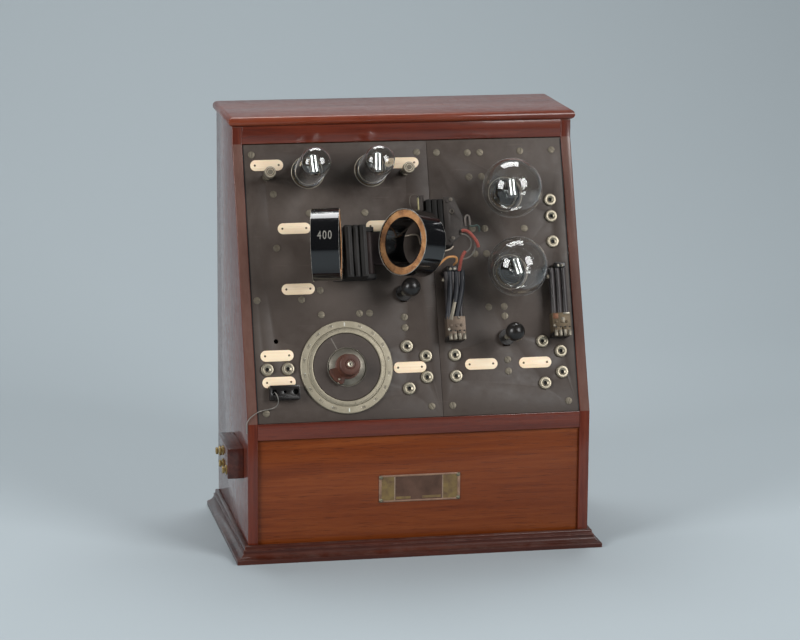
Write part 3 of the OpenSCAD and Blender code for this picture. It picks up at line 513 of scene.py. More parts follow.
def cloud_group():
    """Soft clouds and finer mottling."""
    def fill(tree, given):
        base = given["Vector"]
        wide = noise(tree, base, given["Scale"], 3, 0.5, 0.6)
        fine_scale = times(tree, given["Scale"], 14.0)
        fine = noise(tree, base, fine_scale, 5, 0.7)
        return {"Cloud": spread(tree, wide, 0.28, 0.72), "Mottle": spread(tree, fine, 0.3, 0.7)}
    return group(
        "Clouds", [("Vector", VECTOR, None), ("Scale", NUMBER, 12.0)], ["Cloud", "Mottle"], fill)


def dust_group():
    """Dust that lies on faces that look up, in patches."""
    def fill(tree, given):
        normal = put(tree, "ShaderNodeNewGeometry").outputs["Normal"]
        height = put(tree, "ShaderNodeSeparateXYZ", {0: normal}).outputs[2]
        up = spread(tree, height, 0.2, 1.0)
        patches = spread(tree, noise(tree, given["Vector"], given["Scale"], 6, 0.7), 0.35, 0.75)
        return {"Mask": times(tree, times(tree, up, patches), given["Amount"], clamp=True)}
    return group(
        "Dust", [("Vector", VECTOR, None), ("Scale", NUMBER, 60.0), ("Amount", NUMBER, 0.4)], ["Mask"],
        fill)


def scratch_group():
    """Fine scratches in two directions."""
    def fill(tree, given):
        base = given["Vector"]
        one = noise(tree, stretch(tree, base, (30, 900, 400), (0.3, 0.2, 0.9)), given["Scale"], 2, 0.5)
        two = noise(tree, stretch(tree, base, (800, 26, 500), (0.1, 0.5, 0.4)), given["Scale"], 2, 0.5)
        lines = maths(tree, "MAXIMUM", spread(tree, one, 0.66, 0.74), spread(tree, two, 0.67, 0.75))
        return {"Lines": times(tree, lines, given["Amount"], clamp=True)}
    return group(
        "Fine Scratches", [("Vector", VECTOR, None), ("Scale", NUMBER, 1.0), ("Amount", NUMBER, 0.5)],
        ["Lines"], fill)


def new_finish(name, **constants):
    """A material with a Principled shader whose plain sockets are set here."""
    material = bpy.data.materials.new(name)
    material.use_nodes = True
    tree = material.node_tree
    shader = next(n for n in tree.nodes if n.type == "BSDF_PRINCIPLED")
    for socket, value in constants.items():
        shader.inputs[socket.replace("_", " ")].default_value = value
    where = put(tree, "ShaderNodeTexCoord").outputs["Object"]
    return material, tree, shader, where


def grouped(tree, made, inputs):
    """Places a group in a material and gives it its values."""
    node = tree.nodes.new("ShaderNodeGroup")
    node.node_tree = made
    for key, value in inputs.items():
        if isinstance(value, bpy.types.NodeSocket):
            tree.links.new(value, node.inputs[key])
        else:
            node.inputs[key].default_value = value
    return node.outputs


def clouds(tree, where, scale):
    """The outputs of the clouds: Cloud and Mottle."""
    return grouped(tree, cloud_group(), {"Vector": where, "Scale": scale})


def rubbed(tree, where, width, scale, amount):
    """A mask of rubbed edges."""
    inputs = {"Vector": where, "Width": width, "Scale": scale, "Amount": amount}
    return grouped(tree, wear_group(), inputs)["Mask"]


def dusted(tree, where, scale, amount):
    """A mask of dust."""
    return grouped(tree, dust_group(), {"Vector": where, "Scale": scale, "Amount": amount})["Mask"]


def scratched(tree, where, scale, amount):
    """A mask of fine scratches."""
    return grouped(tree, scratch_group(), {"Vector": where, "Scale": scale, "Amount": amount})["Lines"]


def bumped(tree, shader, height, distance, strength=1.0):
    """Gives a shader a bump."""
    bump = put(tree, "ShaderNodeBump", {"Height": height, "Distance": distance, "Strength": strength})
    tree.links.new(bump.outputs[0], shader.inputs["Normal"])


def plug_in(tree, shader, **values):
    """Links values to a shader's sockets."""
    for socket, value in values.items():
        tree.links.new(value, shader.inputs[socket.replace("_", " ")])


def facing(tree, direction, low=0.94, high=0.98):
    """A mask of the faces that look along a direction."""
    normal = put(tree, "ShaderNodeNewGeometry").outputs["True Normal"]
    dot = put(
        tree, "ShaderNodeVectorMath", {0: normal, 1: direction}, operation="DOT_PRODUCT").outputs["Value"]
    return spread(tree, dot, low, high)


def wood_finish(
        name, dark, middle, light, run=(0.0, 0.0, 0.0), polish=1.0, worn=0.7, sheen_facing=None):
    """French-polished wood with its grain along x, turned by run; faces along one direction can get a painted
    reflection: a paler, streaky colour standing for the polish's sheen.
    """
    material, tree, shader, where = new_finish(
        name, Coat_Roughness=0.14, Coat_IOR=1.5, IOR=1.45, Specular_IOR_Level=0.2)
    vector = put(tree, "ShaderNodeMapping", {"Vector": where, "Rotation": run}).outputs[0]
    grain = grouped(tree, grain_group(), {"Vector": vector, "Figure": 1.0})
    cloud = clouds(tree, where, 9.0)
    wear = rubbed(tree, where, 0.0012, 90.0, worn)
    dust = dusted(tree, where, 45.0, 0.12)
    scratch = scratched(tree, where, 0.8, 0.5)
    figure = maths(tree, "ADD", times(tree, grain["Streaks"], 0.55), times(tree, grain["Bands"], 0.45))
    colour = colours(tree, figure, [(0.05, dark), (0.5, middle), (0.95, light)])
    colour = mixed(tree, times(tree, grain["Pores"], 0.5), colour, tuple(0.35 * c for c in dark))
    colour = mixed(tree, times(tree, cloud["Cloud"], 0.28), colour, dark)
    # Painted reflection: faces that look along the direction turn paler in streaks, standing for the polish's
    # sheen.
    if sheen_facing:
        direction, sheen_colour, sheen_share = sheen_facing
        streaky = spread(tree, grain["Streaks"], 0.0, 1.0, 0.75 * sheen_share, sheen_share)
        colour = mixed(tree, times(tree, facing(tree, direction), streaky), colour, sheen_colour)
    colour = mixed(tree, wear, colour, tuple(min(1.0, 1.9 * c + 0.03) for c in light))
    colour = mixed(tree, dust, colour, (0.42, 0.38, 0.35))
    rough = spread(tree, cloud["Mottle"], 0.0, 1.0, 0.34, 0.48)
    rough = maths(tree, "ADD", rough, times(tree, scratch, 0.12))
    coat = spread(tree, maths(tree, "MAXIMUM", wear, cloud["Mottle"]), 0.0, 1.0, polish, polish * 0.7)
    plug_in(tree, shader, Base_Color=colour, Roughness=rough, Coat_Weight=coat)
    height = maths(tree, "SUBTRACT", times(tree, grain["Streaks"], 0.3), grain["Pores"])
    bumped(tree, shader, height, 0.00012, 0.6)
    return material


def ebonite_finish(
        name, dark, light, rough_low=0.36, rough_high=0.52, coat=0.0, cloud_scale=7.0, dusty=0.25,
        shine=0.35):
    """Hard rubber: faded in clouds, finely scratched, dusty where it looks up."""
    material, tree, shader, where = new_finish(name, Coat_Roughness=0.2, IOR=1.52, Specular_IOR_Level=shine)
    cloud = clouds(tree, where, cloud_scale)
    wear = rubbed(tree, where, 0.0006, 160.0, 0.7)
    dust = dusted(tree, where, 90.0, dusty)
    scratch = scratched(tree, where, 1.0, 0.6)
    colour = colours(tree, cloud["Cloud"], [(0.1, dark), (0.9, light)])
    colour = mixed(tree, times(tree, cloud["Mottle"], 0.25), colour, tuple(1.25 * c for c in light))
    colour = mixed(tree, times(tree, scratch, 0.35), colour, tuple(1.8 * c + 0.01 for c in light))
    colour = mixed(tree, wear, colour, tuple(1.7 * c + 0.01 for c in light))
    colour = mixed(tree, dust, colour, (0.3, 0.27, 0.24))
    rough = spread(tree, cloud["Mottle"], 0.0, 1.0, rough_low, rough_high)
    rough = maths(tree, "ADD", rough, times(tree, scratch, 0.1))
    plug_in(tree, shader, Base_Color=colour, Roughness=rough)
    if coat:
        plug_in(tree, shader, Coat_Weight=spread(tree, cloud["Mottle"], 0.0, 1.0, coat, coat * 0.6))
    bumped(tree, shader, maths(tree, "SUBTRACT", cloud["Mottle"], scratch), 0.00006, 0.35)
    return material


def metal_finish(
        name, bright, dull, metallic=0.9, rough_low=0.24, rough_high=0.5, mark_scale=70.0, tarnish=0.6):
    """Old plated or bare metal: tarnished in patches, brighter where it is rubbed."""
    material, tree, shader, where = new_finish(name, IOR=1.5)
    cloud = clouds(tree, where, mark_scale)
    wear = rubbed(tree, where, 0.0004, 400.0, 0.8)
    scratch = scratched(tree, where, 1.4, 0.7)
    patches = times(tree, cloud["Cloud"], tarnish)
    colour = mixed(tree, patches, bright, dull)
    colour = mixed(tree, times(tree, cloud["Mottle"], 0.3), colour, tuple(0.6 * c for c in dull))
    colour = mixed(tree, wear, colour, tuple(min(1.0, 1.15 * c + 0.05) for c in bright))
    metal = spread(tree, patches, 0.0, 1.0, metallic, metallic * 0.7)
    rough = spread(tree, maths(tree, "MAXIMUM", patches, cloud["Mottle"]), 0.0, 1.0, rough_low, rough_high)
    rough = maths(tree, "ADD", rough, times(tree, scratch, 0.12))
    plug_in(tree, shader, Base_Color=colour, Roughness=rough, Metallic=metal)
    bumped(tree, shader, maths(tree, "SUBTRACT", cloud["Mottle"], scratch), 0.00004, 0.4)
    return material


def ivory_finish(name, light, dark):
    """Ivory: faint lengthwise lines, yellow at the edges, dirt in the scratches."""
    material, tree, shader, where = new_finish(
        name, Subsurface_Weight=0.12, Subsurface_Scale=0.002, IOR=1.5)
    lines = noise(tree, stretch(tree, where, (14, 900, 500)), 1.0, 4, 0.6, 0.5)
    cloud = clouds(tree, where, 60.0)
    wear = rubbed(tree, where, 0.0009, 220.0, 0.9)
    scratch = scratched(tree, where, 1.3, 0.6)
    colour = colours(tree, lines, [(0.3, dark), (0.62, light)])
    colour = mixed(tree, times(tree, cloud["Cloud"], 0.2), colour, dark)
    colour = mixed(tree, wear, colour, tuple(0.7 * c for c in dark))
    colour = mixed(tree, times(tree, scratch, 0.3), colour, (0.2, 0.14, 0.08))
    rough = spread(tree, cloud["Mottle"], 0.0, 1.0, 0.32, 0.46)
    plug_in(tree, shader, Base_Color=colour, Roughness=rough)
    bumped(tree, shader, maths(tree, "SUBTRACT", lines, scratch), 0.00005, 0.4)
    return material


def glass_finish(name):
    """Thin blown glass with a faint bloom."""
    material, tree, shader, where = new_finish(
        name, IOR=1.47, Transmission_Weight=1.0, Metallic=0.0, Sheen_Weight=0.5, Sheen_Roughness=0.2)
    cloud = clouds(tree, where, 9.0)
    colour = mixed(tree, cloud["Cloud"], (0.985, 0.99, 0.985), (0.955, 0.965, 0.955))
    rough = spread(tree, cloud["Mottle"], 0.2, 1.0, 0.0, 0.015)
    plug_in(tree, shader, Base_Color=colour, Roughness=rough)
    return material


def celluloid_finish(name, dark, light):
    """Black celluloid with a deep polish and light handling marks."""
    material, tree, shader, where = new_finish(
        name, Coat_Weight=1.0, Coat_Roughness=0.05, Coat_IOR=1.62, IOR=1.5, Specular_IOR_Level=0.1)
    cloud = clouds(tree, where, 26.0)
    scratch = scratched(tree, where, 1.2, 0.6)
    wear = rubbed(tree, where, 0.0005, 260.0, 0.6)
    colour = mixed(tree, times(tree, cloud["Cloud"], 0.5), dark, light)
    colour = mixed(tree, wear, colour, tuple(4.0 * c + 0.02 for c in light))
    rough = maths(
        tree, "ADD", spread(tree, cloud["Mottle"], 0.0, 1.0, 0.16, 0.26),
        times(tree, scratch, 0.2))
    plug_in(tree, shader, Base_Color=colour, Roughness=rough)
    bumped(tree, shader, times(tree, scratch, -1.0), 0.00003, 0.4)
    return material


def cotton_finish(name, light, middle, dark):
    """Cotton-covered or lacquered wire: fibres and uneven colour."""
    material, tree, shader, where = new_finish(name, Sheen_Weight=0.25, Sheen_Roughness=0.6)
    cloud = clouds(tree, where, 110.0)
    fibre = noise(tree, where, 2600.0, 3, 0.7)
    colour = colours(tree, cloud["Cloud"], [(0.15, dark), (0.5, middle), (0.85, light)])
    colour = mixed(tree, times(tree, cloud["Mottle"], 0.5), colour, tuple(0.45 * c for c in dark))
    rough = spread(tree, fibre, 0.3, 0.7, 0.62, 0.85)
    plug_in(tree, shader, Base_Color=colour, Roughness=rough)
    bumped(tree, shader, fibre, 0.0001, 0.6)
    return material


def cord_finish(name, light, dark):
    """Braided or rubber insulation with a fine twill."""
    material, tree, shader, where = new_finish(name, Sheen_Weight=0.1)
    cloud = clouds(tree, where, 150.0)
    twill = put(tree, "ShaderNodeTexWave", {
        "Vector": stretch(tree, where, (1, 1, 1), (0.5, 0.3, 0.7)), "Scale": 1500.0,
        "Distortion": 2.0}).outputs[1]
    colour = mixed(tree, spread(tree, twill, 0.3, 0.9), dark, light)
    colour = mixed(tree, times(tree, cloud["Cloud"], 0.4), colour, dark)
    rough = spread(tree, cloud["Mottle"], 0.0, 1.0, 0.45, 0.7)
    plug_in(tree, shader, Base_Color=colour, Roughness=rough)
    bumped(tree, shader, twill, 0.0001, 0.4)
    return material


# Metals: name, bright colour, dull colour, then metallic, roughness low and high, mark scale, tarnish.
METALS = {
    "nickel": ("Aged nickel", (0.66, 0.59, 0.47), (0.36, 0.31, 0.23), 0.85, 0.22, 0.48),
    "scale_nickel": ("Nickel scale", (0.43, 0.385, 0.29), (0.25, 0.215, 0.15), 0.7, 0.4, 0.58),
    "socket_nickel": ("Socket nickel", (0.44, 0.39, 0.3), (0.25, 0.22, 0.155), 0.85, 0.28, 0.5),
    "plate_nickel": (
        "Dulled nickel plate", (0.3, 0.275, 0.225), (0.1, 0.088, 0.07), 0.8, 0.34, 0.54, 90.0, 0.8),
    "brass": ("Tarnished brass", (0.5, 0.36, 0.14), (0.19, 0.13, 0.055), 0.8, 0.3, 0.58),
    "nut_nickel": ("Knurled nickel", (0.42, 0.37, 0.29), (0.22, 0.19, 0.14), 0.8, 0.3, 0.52, 120.0),
    "pin_dark": ("Darkened pins", (0.16, 0.11, 0.06), (0.05, 0.035, 0.022), 0.6, 0.4, 0.62, 300.0),
    "plate_rim": ("Pale copper rim", (0.44, 0.27, 0.18), (0.17, 0.1, 0.07), 0.55, 0.4, 0.6, 90.0, 0.8),
    "plate_end": (
        "Yellow brass field", (0.3, 0.21, 0.075), (0.13, 0.075, 0.045), 0.5, 0.4, 0.6, 120.0, 0.9),
    "plate_line": ("Pale brass line", (0.42, 0.31, 0.22), (0.22, 0.15, 0.1), 0.5, 0.4, 0.6, 90.0),
    "corner_pin": ("Grey-green pins", (0.24, 0.22, 0.15), (0.11, 0.1, 0.072), 0.6, 0.36, 0.56, 200.0),
    "copper_brown": ("Browned copper", (0.17, 0.125, 0.09), (0.07, 0.052, 0.04), 0.65, 0.36, 0.62),
    "copper_patch": ("Copper patch", (0.19, 0.08, 0.04), (0.09, 0.045, 0.027), 0.6, 0.42, 0.62, 160.0),
    "slider_olive": ("Dark slider brass", (0.13, 0.095, 0.055), (0.06, 0.044, 0.028), 0.6, 0.38, 0.62),
    "finger_metal": (
        "Worn nickel fingers", (0.27, 0.24, 0.19), (0.12, 0.105, 0.08), 0.8, 0.36, 0.56, 160.0),
    # Bright screws; the same finish also paints a highlight strip on the right slider.
    "bright_screw_and_highlight": ("Bright small screws and painted highlight", (0.5, 0.46, 0.38), (0.26, 0.23, 0.18), 0.8, 0.26, 0.46),
    "rod_brass": ("Olive brass rod", (0.3, 0.27, 0.14), (0.14, 0.12, 0.07), 0.75, 0.3, 0.5),
    "tag_dark": ("Dark tag metal", (0.045, 0.036, 0.031), (0.022, 0.018, 0.015), 0.4, 0.5, 0.7),
    "rivet_metal": ("Dull rivets", (0.15, 0.13, 0.105), (0.06, 0.052, 0.042), 0.6, 0.4, 0.6, 200.0),
    "screw_metal": ("Dull screw metal", (0.22, 0.19, 0.14), (0.085, 0.072, 0.056), 0.65, 0.4, 0.64, 160.0),
    "cap_brass": ("Valve cap brass", (0.24, 0.17, 0.09), (0.1, 0.066, 0.036), 0.75, 0.34, 0.56, 60.0),
    "anode_metal": ("Bright valve metal", (0.8, 0.8, 0.78), (0.5, 0.5, 0.48), 1.0, 0.12, 0.28, 200.0, 0.3),
    "dark_iron": ("Dark iron", (0.12, 0.12, 0.12), (0.04, 0.035, 0.03), 0.7, 0.4, 0.65),
    "tag_metal": ("Grey tag metal", (0.16, 0.135, 0.12), (0.07, 0.058, 0.05), 0.6, 0.4, 0.62),
    "grey_wire": ("Grey bare wire", (0.34, 0.32, 0.29), (0.13, 0.12, 0.1), 0.6, 0.32, 0.55),
}
# Ebonites: name, dark and light colour, roughness low and high, then coat, cloud scale, dust, shine.
EBONITES = {
    "ebonite": ("Faded ebonite", (0.04, 0.028, 0.022), (0.07, 0.053, 0.043), 0.42, 0.6),
    "black_ebonite": (
        "Black ebonite", (0.006, 0.005, 0.005), (0.012, 0.01, 0.009), 0.26, 0.36, 0.2, 30.0, 0.08),
    "plate_field": (
        "Dark brown plate field", (0.05, 0.024, 0.014), (0.1, 0.052, 0.034), 0.4, 0.6, 0.0, 60.0, 0.1),
    "tube_grey": ("Grey tubes", (0.03, 0.025, 0.025), (0.055, 0.047, 0.047), 0.34, 0.5),
    "cap_cement": (
        "Brown cap cement", (0.022, 0.014, 0.008), (0.05, 0.034, 0.02), 0.5, 0.7, 0.0, 60.0, 0.05),
    "dull_ebonite": (
        "Dull black ebonite", (0.006, 0.005, 0.005), (0.014, 0.012, 0.01), 0.5, 0.68, 0.0, 30.0, 0.05),
    "matt_ebonite": (
        "Matt black ebonite", (0.004, 0.0035, 0.003), (0.009, 0.008, 0.007), 0.45, 0.62, 0.0, 30.0, 0.04,
        0.16),
    "holder_brown": (
        "Brown fibre holder", (0.035, 0.022, 0.02), (0.065, 0.043, 0.039), 0.45, 0.6, 0.0, 40.0, 0.15),
    "sleeve_blue": (
        "Dark sleeve", (0.009, 0.0095, 0.012), (0.024, 0.026, 0.033), 0.42, 0.6, 0.06, 60.0, 0.1),
    "knob_brown": ("Red-brown knob", (0.05, 0.017, 0.011), (0.11, 0.042, 0.026), 0.4, 0.6, 0.0, 60.0),
    # Painted shade: black set into holes and gaps where shade falls.
    "painted_shade_black": ("Painted shade black", (0.003, 0.003, 0.003), (0.006, 0.006, 0.006), 0.5, 0.7),
    "grey_fill": ("Grey filling", (0.12, 0.105, 0.09), (0.2, 0.18, 0.155), 0.5, 0.7),
    "dark_fill": ("Dark filling", (0.015, 0.012, 0.01), (0.03, 0.025, 0.02), 0.5, 0.7),
}
OTHERS = {
    "mahogany_across": lambda: wood_finish(
        "Mahogany, grain across", (0.06, 0.008, 0.003), (0.12, 0.019, 0.007), (0.18, 0.036, 0.013)),
    # The side boards' faces that look out of the panels, their sloping front edges, get a painted reflection.
    "mahogany_upright": lambda: wood_finish(
        "Mahogany, grain upright", (0.06, 0.008, 0.003), (0.12, 0.019, 0.007), (0.18, 0.036, 0.013),
        (0.0, math.pi / 2, 0.0), sheen_facing=(tuple(OUT), (0.15, 0.082, 0.064), 0.9)),
    # The side block's wood is darkened as painted shade.
    "mahogany_deep_shaded": lambda: wood_finish(
        "Mahogany, grain front to back, darkened as painted shade", (0.035, 0.007, 0.004), (0.075, 0.015, 0.008), (0.13, 0.03, 0.015),
        (0.0, 0.0, math.pi / 2)),
    "lid_wood": lambda: wood_finish(
        "Lid mahogany", (0.09, 0.012, 0.004), (0.165, 0.028, 0.01), (0.23, 0.05, 0.018), polish=0.7),
    "front_wood": lambda: wood_finish(
        "Front board wood", (0.11, 0.021, 0.004), (0.165, 0.036, 0.007), (0.22, 0.055, 0.012), polish=0.4,
        worn=0.5),
    # The base moulding's wood is darkened as painted shade.
    "base_wood_shaded": lambda: wood_finish(
        "Base mahogany, darkened as painted shade", (0.026, 0.005, 0.0025), (0.055, 0.01, 0.004), (0.095, 0.02, 0.008), polish=0.75,
        worn=1.0),
    "inner_wood": lambda: wood_finish(
        "Plain back wood", (0.1, 0.05, 0.025), (0.17, 0.09, 0.045), (0.24, 0.14, 0.075),
        (0.0, math.pi / 2, 0.0), polish=0.08, worn=0.5),
    "ivory": lambda: ivory_finish("Ivory", (0.98, 0.79, 0.57), (0.92, 0.69, 0.47)),
    "glass": lambda: glass_finish("Valve glass"),
    "celluloid": lambda: celluloid_finish(
        "Black celluloid", (0.002, 0.002, 0.0025), (0.006, 0.0055, 0.006)),
    "pale_edge": lambda: celluloid_finish(
        "Pale worn figures and edges", (0.2, 0.19, 0.17), (0.36, 0.34, 0.3)),
    "cotton_winding": lambda: cotton_finish(
        "Cotton winding", (0.86, 0.47, 0.19), (0.68, 0.32, 0.11), (0.34, 0.14, 0.045)),
    "lead_red": lambda: cord_finish("Red sleeve", (0.48, 0.11, 0.075), (0.2, 0.03, 0.02)),
    "lead_orange": lambda: cord_finish("Orange lead", (0.75, 0.4, 0.15), (0.42, 0.17, 0.045)),
    "lead_white": lambda: cord_finish("Greyed lead", (0.5, 0.42, 0.33), (0.3, 0.24, 0.18)),
    "lead_green": lambda: cord_finish("Grey-green wire", (0.07, 0.12, 0.1), (0.02, 0.035, 0.03)),
    "white_fill": lambda: ivory_finish("Pale filling", (0.75, 0.72, 0.64), (0.58, 0.54, 0.46)),
}
MADE = {}


def finish(name):
    """A finish from the library, made when it is first wanted."""
    if name not in MADE:
        if name in METALS:
            MADE[name] = metal_finish(*METALS[name])
        elif name in EBONITES:
            MADE[name] = ebonite_finish(*EBONITES[name])
        else:
            MADE[name] = OTHERS[name]()
    return MADE[name]


# Camera and stage

def look_from(azimuth, elevation, distance, target, roll):
    """A camera's place from its angles."""
    az, el, ro = (math.radians(a) for a in (azimuth, elevation, roll))
    away = Vector((-math.sin(az) * math.cos(el), -math.cos(az) * math.cos(el), math.sin(el)))
    right = (-away).cross(Vector((0, 0, 1))).normalized()
    up = right.cross(-away)
    side = math.cos(ro) * right + math.sin(ro) * up
    top = -math.sin(ro) * right + math.cos(ro) * up
    place = Matrix((side, top, away)).transposed().to_4x4()
    place.translation = target + distance * away
    return place


class ReceiverStage(bpy.types.PropertyGroup):
    """Camera, floor and lamps."""
    azimuth: bpy.props.FloatProperty(
        name="Azimuth", description="Degrees to the left of the front", default=11.231)
    elevation: bpy.props.FloatProperty(
        name="Elevation", description="Degrees above the level", default=12.351)
    roll: bpy.props.FloatProperty(
        name="Roll", description="Turn about the view line in degrees", default=0.376)
    distance: bpy.props.FloatProperty(
        name="Distance", description="Camera to target", default=3.265689, unit="LENGTH")
    lens: bpy.props.FloatProperty(name="Lens", description="Focal length on a 36 mm sensor", default=139.11)
    floor_colour: bpy.props.FloatVectorProperty(
        name="Floor", description="Colour of the floor and backdrop", size=3, subtype="COLOR",
        default=(0.42, 0.475, 0.505))
    top_light: bpy.props.FloatProperty(
        name="Top light", description="Overhead softbox", default=30.0, unit="POWER")
    left_light: bpy.props.FloatProperty(
        name="Left light", description="Softbox at the front left", default=40.0, unit="POWER")
    right_light: bpy.props.FloatProperty(
        name="Right light", description="Softbox at the front right", default=40.0, unit="POWER")


class ReceiverSizes(bpy.types.PropertyGroup):
    """Edges that a user may change."""
    board_edge: bpy.props.FloatProperty(
        name="Board edge", description="Rounding of the boards' edges", default=0.0008, unit="LENGTH")
    panel_edge: bpy.props.FloatProperty(
        name="Panel edge", description="Rounding of the ebonite panels' edges", default=0.0004,
        unit="LENGTH")


def softbox(name, place, aim, width, height, power):
    """A lamp with a wide face, turned to a point."""
    lamp = bpy.data.lights.new(name, "AREA")
    lamp.shape = "RECTANGLE"
    lamp.size = width
    lamp.size_y = height
    lamp.energy = power
    holder = bpy.data.objects.new(name, lamp)
    holder.location = place
    holder.rotation_euler = (Vector(aim) - Vector(place)).to_track_quat("-Z", "Y").to_euler()
    bpy.context.scene.collection.objects.link(holder)


class RECEIVER_OT_stage(bpy.types.Operator):
    """Camera, seamless floor, soft lamps and the world"""
    bl_idname = "receiver.stage"
    bl_label = "Stage"

    def execute(self, context):
        scene = context.scene
        values = scene.receiver_stage
        lens = bpy.data.cameras.new("camera")
        lens.lens = values.lens
        lens.sensor_width = 36.0
        lens.sensor_fit = "HORIZONTAL"
        lens.clip_start = 0.05
        lens.clip_end = 60.0
        camera = bpy.data.objects.new("camera", lens)
        scene.collection.objects.link(camera)
        camera.matrix_world = look_from(
            values.azimuth, values.elevation, values.distance, VIEW_TARGET, values.roll)
        scene.camera = camera

        material, tree, shader, where = new_finish("Pale paper", Roughness=0.9)
        shader.inputs["Specular IOR Level"].default_value = 0.1
        far = put(tree, "ShaderNodeSeparateXYZ", {0: where})
        cloud = clouds(tree, where, 0.35)
        base = tuple(values.floor_colour)
        # The backdrop darkens a little towards the back: painted shade.
        shade = spread(tree, far.outputs[1], 0.3, 1.9)
        colour = mixed(tree, shade, base, tuple(0.96 * c for c in base))
        colour = mixed(tree, times(tree, cloud["Cloud"], 0.06), colour, tuple(0.85 * c for c in base))
        plug_in(tree, shader, Base_Color=colour)
        # From behind, the backdrop is clear.
        rear = put(tree, "ShaderNodeNewGeometry").outputs["Backfacing"]
        clear = put(tree, "ShaderNodeBsdfTransparent").outputs[0]
        one_sided = put(tree, "ShaderNodeMixShader", {0: rear, 1: shader.outputs[0], 2: clear})
        paper = next(n for n in tree.nodes if n.type == "OUTPUT_MATERIAL")
        tree.links.new(one_sided.outputs[0], paper.inputs["Surface"])

        bm = bmesh.new()
        line = [(-6.0, 0.0), (0.8, 0.0)]
        bend = [math.radians(5 * i) for i in range(1, 18)]
        line += [(0.8 + BEND_R * math.sin(a), BEND_R - BEND_R * math.cos(a)) for a in bend]
        line += [(2.2, 5.0)]
        verts = [bm.verts.new((-6.0, y, z)) for y, z in line]
        edges = [bm.edges.new(pair) for pair in zip(verts, verts[1:])]
        out = bmesh.ops.extrude_edge_only(bm, edges=edges)
        moved = [g for g in out["geom"] if isinstance(g, bmesh.types.BMVert)]
        bmesh.ops.translate(bm, vec=(12.0, 0, 0), verts=moved)
        recalc(bm)
        if sum(f.normal.z for f in bm.faces) < 0:
            bmesh.ops.reverse_faces(bm, faces=bm.faces[:])
        mesh = bpy.data.meshes.new("floor")
        bm.to_mesh(mesh)
        bm.free()
        mesh.materials.append(material)
        mesh.shade_smooth()
        floor = bpy.data.objects.new("floor", mesh)
        scene.collection.objects.link(floor)

        softbox("top_softbox", (0.06, 0.78, 2.1), (0.0, 0.0, 0.3), 1.4, 0.95, values.top_light)
        softbox("left_softbox", (-2.0, -1.2, 1.1), (0.0, 0.0, 0.25), 1.0, 1.3, values.left_light)
        softbox("right_softbox", (1.35, -1.75, 1.4), (0.0, 0.0, 0.25), 1.0, 1.3, values.right_light)

        world = bpy.data.worlds.new("room")
        world.use_nodes = True
        tree = world.node_tree
        back = next(n for n in tree.nodes if n.type == "BACKGROUND")
        back.inputs[0].default_value = (0.8, 0.88, 0.93, 1.0)
        back.inputs[1].default_value = 0.07
        scene.world = world
        scene.view_settings.view_transform = "Standard"
        return {"FINISHED"}


class RECEIVER_OT_loose_wire(bpy.types.Operator):
    """The loose wire that stands in the small socket block"""
    bl_idname = "receiver.loose_wire"
    bl_label = "Loose wire"

    def execute(self, context):
        points = [point(*p) for p in smooth_route(LOOSE_ROUTE, 8)]
        curve = line_curve("loose_wire_run", points, 0.0005, 3)
        curve.materials.append(finish("grey_wire"))
        piece = bpy.data.objects.new("loose_wire_run", curve)
        context.scene.collection.objects.link(piece)
        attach(piece, "cabinet")
        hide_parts("loose_wire")
        return {"FINISHED"}


class RECEIVER_OT_cabinet(bpy.types.Operator):
    """Boards, rails, lid and moulding of the cabinet"""
    bl_idname = "receiver.cabinet"
    bl_label = "Cabinet"

    def execute(self, context):
        edge = context.scene.receiver_sizes.board_edge / MM
        eased("left_side", "cabinet", "mahogany_upright", edge, 3)
        eased("right_side", "cabinet", "mahogany_upright", edge, 3)
        eased("lid", "cabinet", "lid_wood", 0.5, 2, 40)
        eased("frieze_rail", "cabinet", "mahogany_across", 0.5, 2)
        eased("front_rail", "cabinet", "mahogany_across", edge, 3)
        eased("front_board", "cabinet", "front_wood", 0.3, 2)
        eased("base_moulding", "cabinet", "base_wood_shaded", 0.35, 2, 45)
        eased("side_block", "cabinet", "mahogany_deep_shaded", 0.8, 3)
        dress("bottom_board", "inner_wood")
        eased("back_board", "cabinet", "inner_wood", 0.5, 2)
        dress("panel_battens", "inner_wood")
        return {"FINISHED"}


class RECEIVER_OT_panels(bpy.types.Operator):
    """The two ebonite panels, the small socket block of the same stuff, and black strips of painted shadow in
    the gaps at the panels' sides
    """
    bl_idname = "receiver.panels"
    bl_label = "Panels"

    def execute(self, context):
        edge = context.scene.receiver_sizes.panel_edge / MM
        eased("tuning_panel", "cabinet", "ebonite", edge, 2)
        eased("amplifier_panel", "cabinet", "ebonite", edge, 2)
        eased("socket_block", "cabinet", "black_ebonite", 0.5, 2)
        # Black strips along the panels' outer edges are painted shadow in the gaps beside the side boards.
        whole = bmesh.new()
        for side in (-1, 1):
            low, high = sorted((side * (OPENING_HALF_W - 1.4), side * OPENING_HALF_W))
            gather(whole, block((low, 1, -2), (high, 290, 0.07), 0.0), on_panel())
        stand_in("painted_gap_shadows", whole, "cabinet", ["painted_shade_black"], ())
        return {"FINISHED"}


def screw_head(radius, height, slot_w, depth):
    """A round head cut across by a slot."""
    whole = bmesh.new()
    gather(whole, rod(radius, 0.0, height - depth, 0.05, 28))
    for side in (-1, 1):
        bm = bmesh.new()
        bmesh.ops.create_circle(bm, cap_ends=True, radius=radius, segments=28)
        bmesh.ops.bisect_plane(
            bm, geom=bm.verts[:] + bm.edges[:] + bm.faces[:], dist=1e-5,
            plane_co=(0, side * slot_w / 2, 0), plane_no=(0, -side, 0), clear_outer=True)
        drawn_out(bm, (0, 0, height))
        soften(bm, 0.16, 2, 40, lambda e: min(v.co.z for v in e.verts) > height - 0.01)
        gather(whole, bm)
    return whole


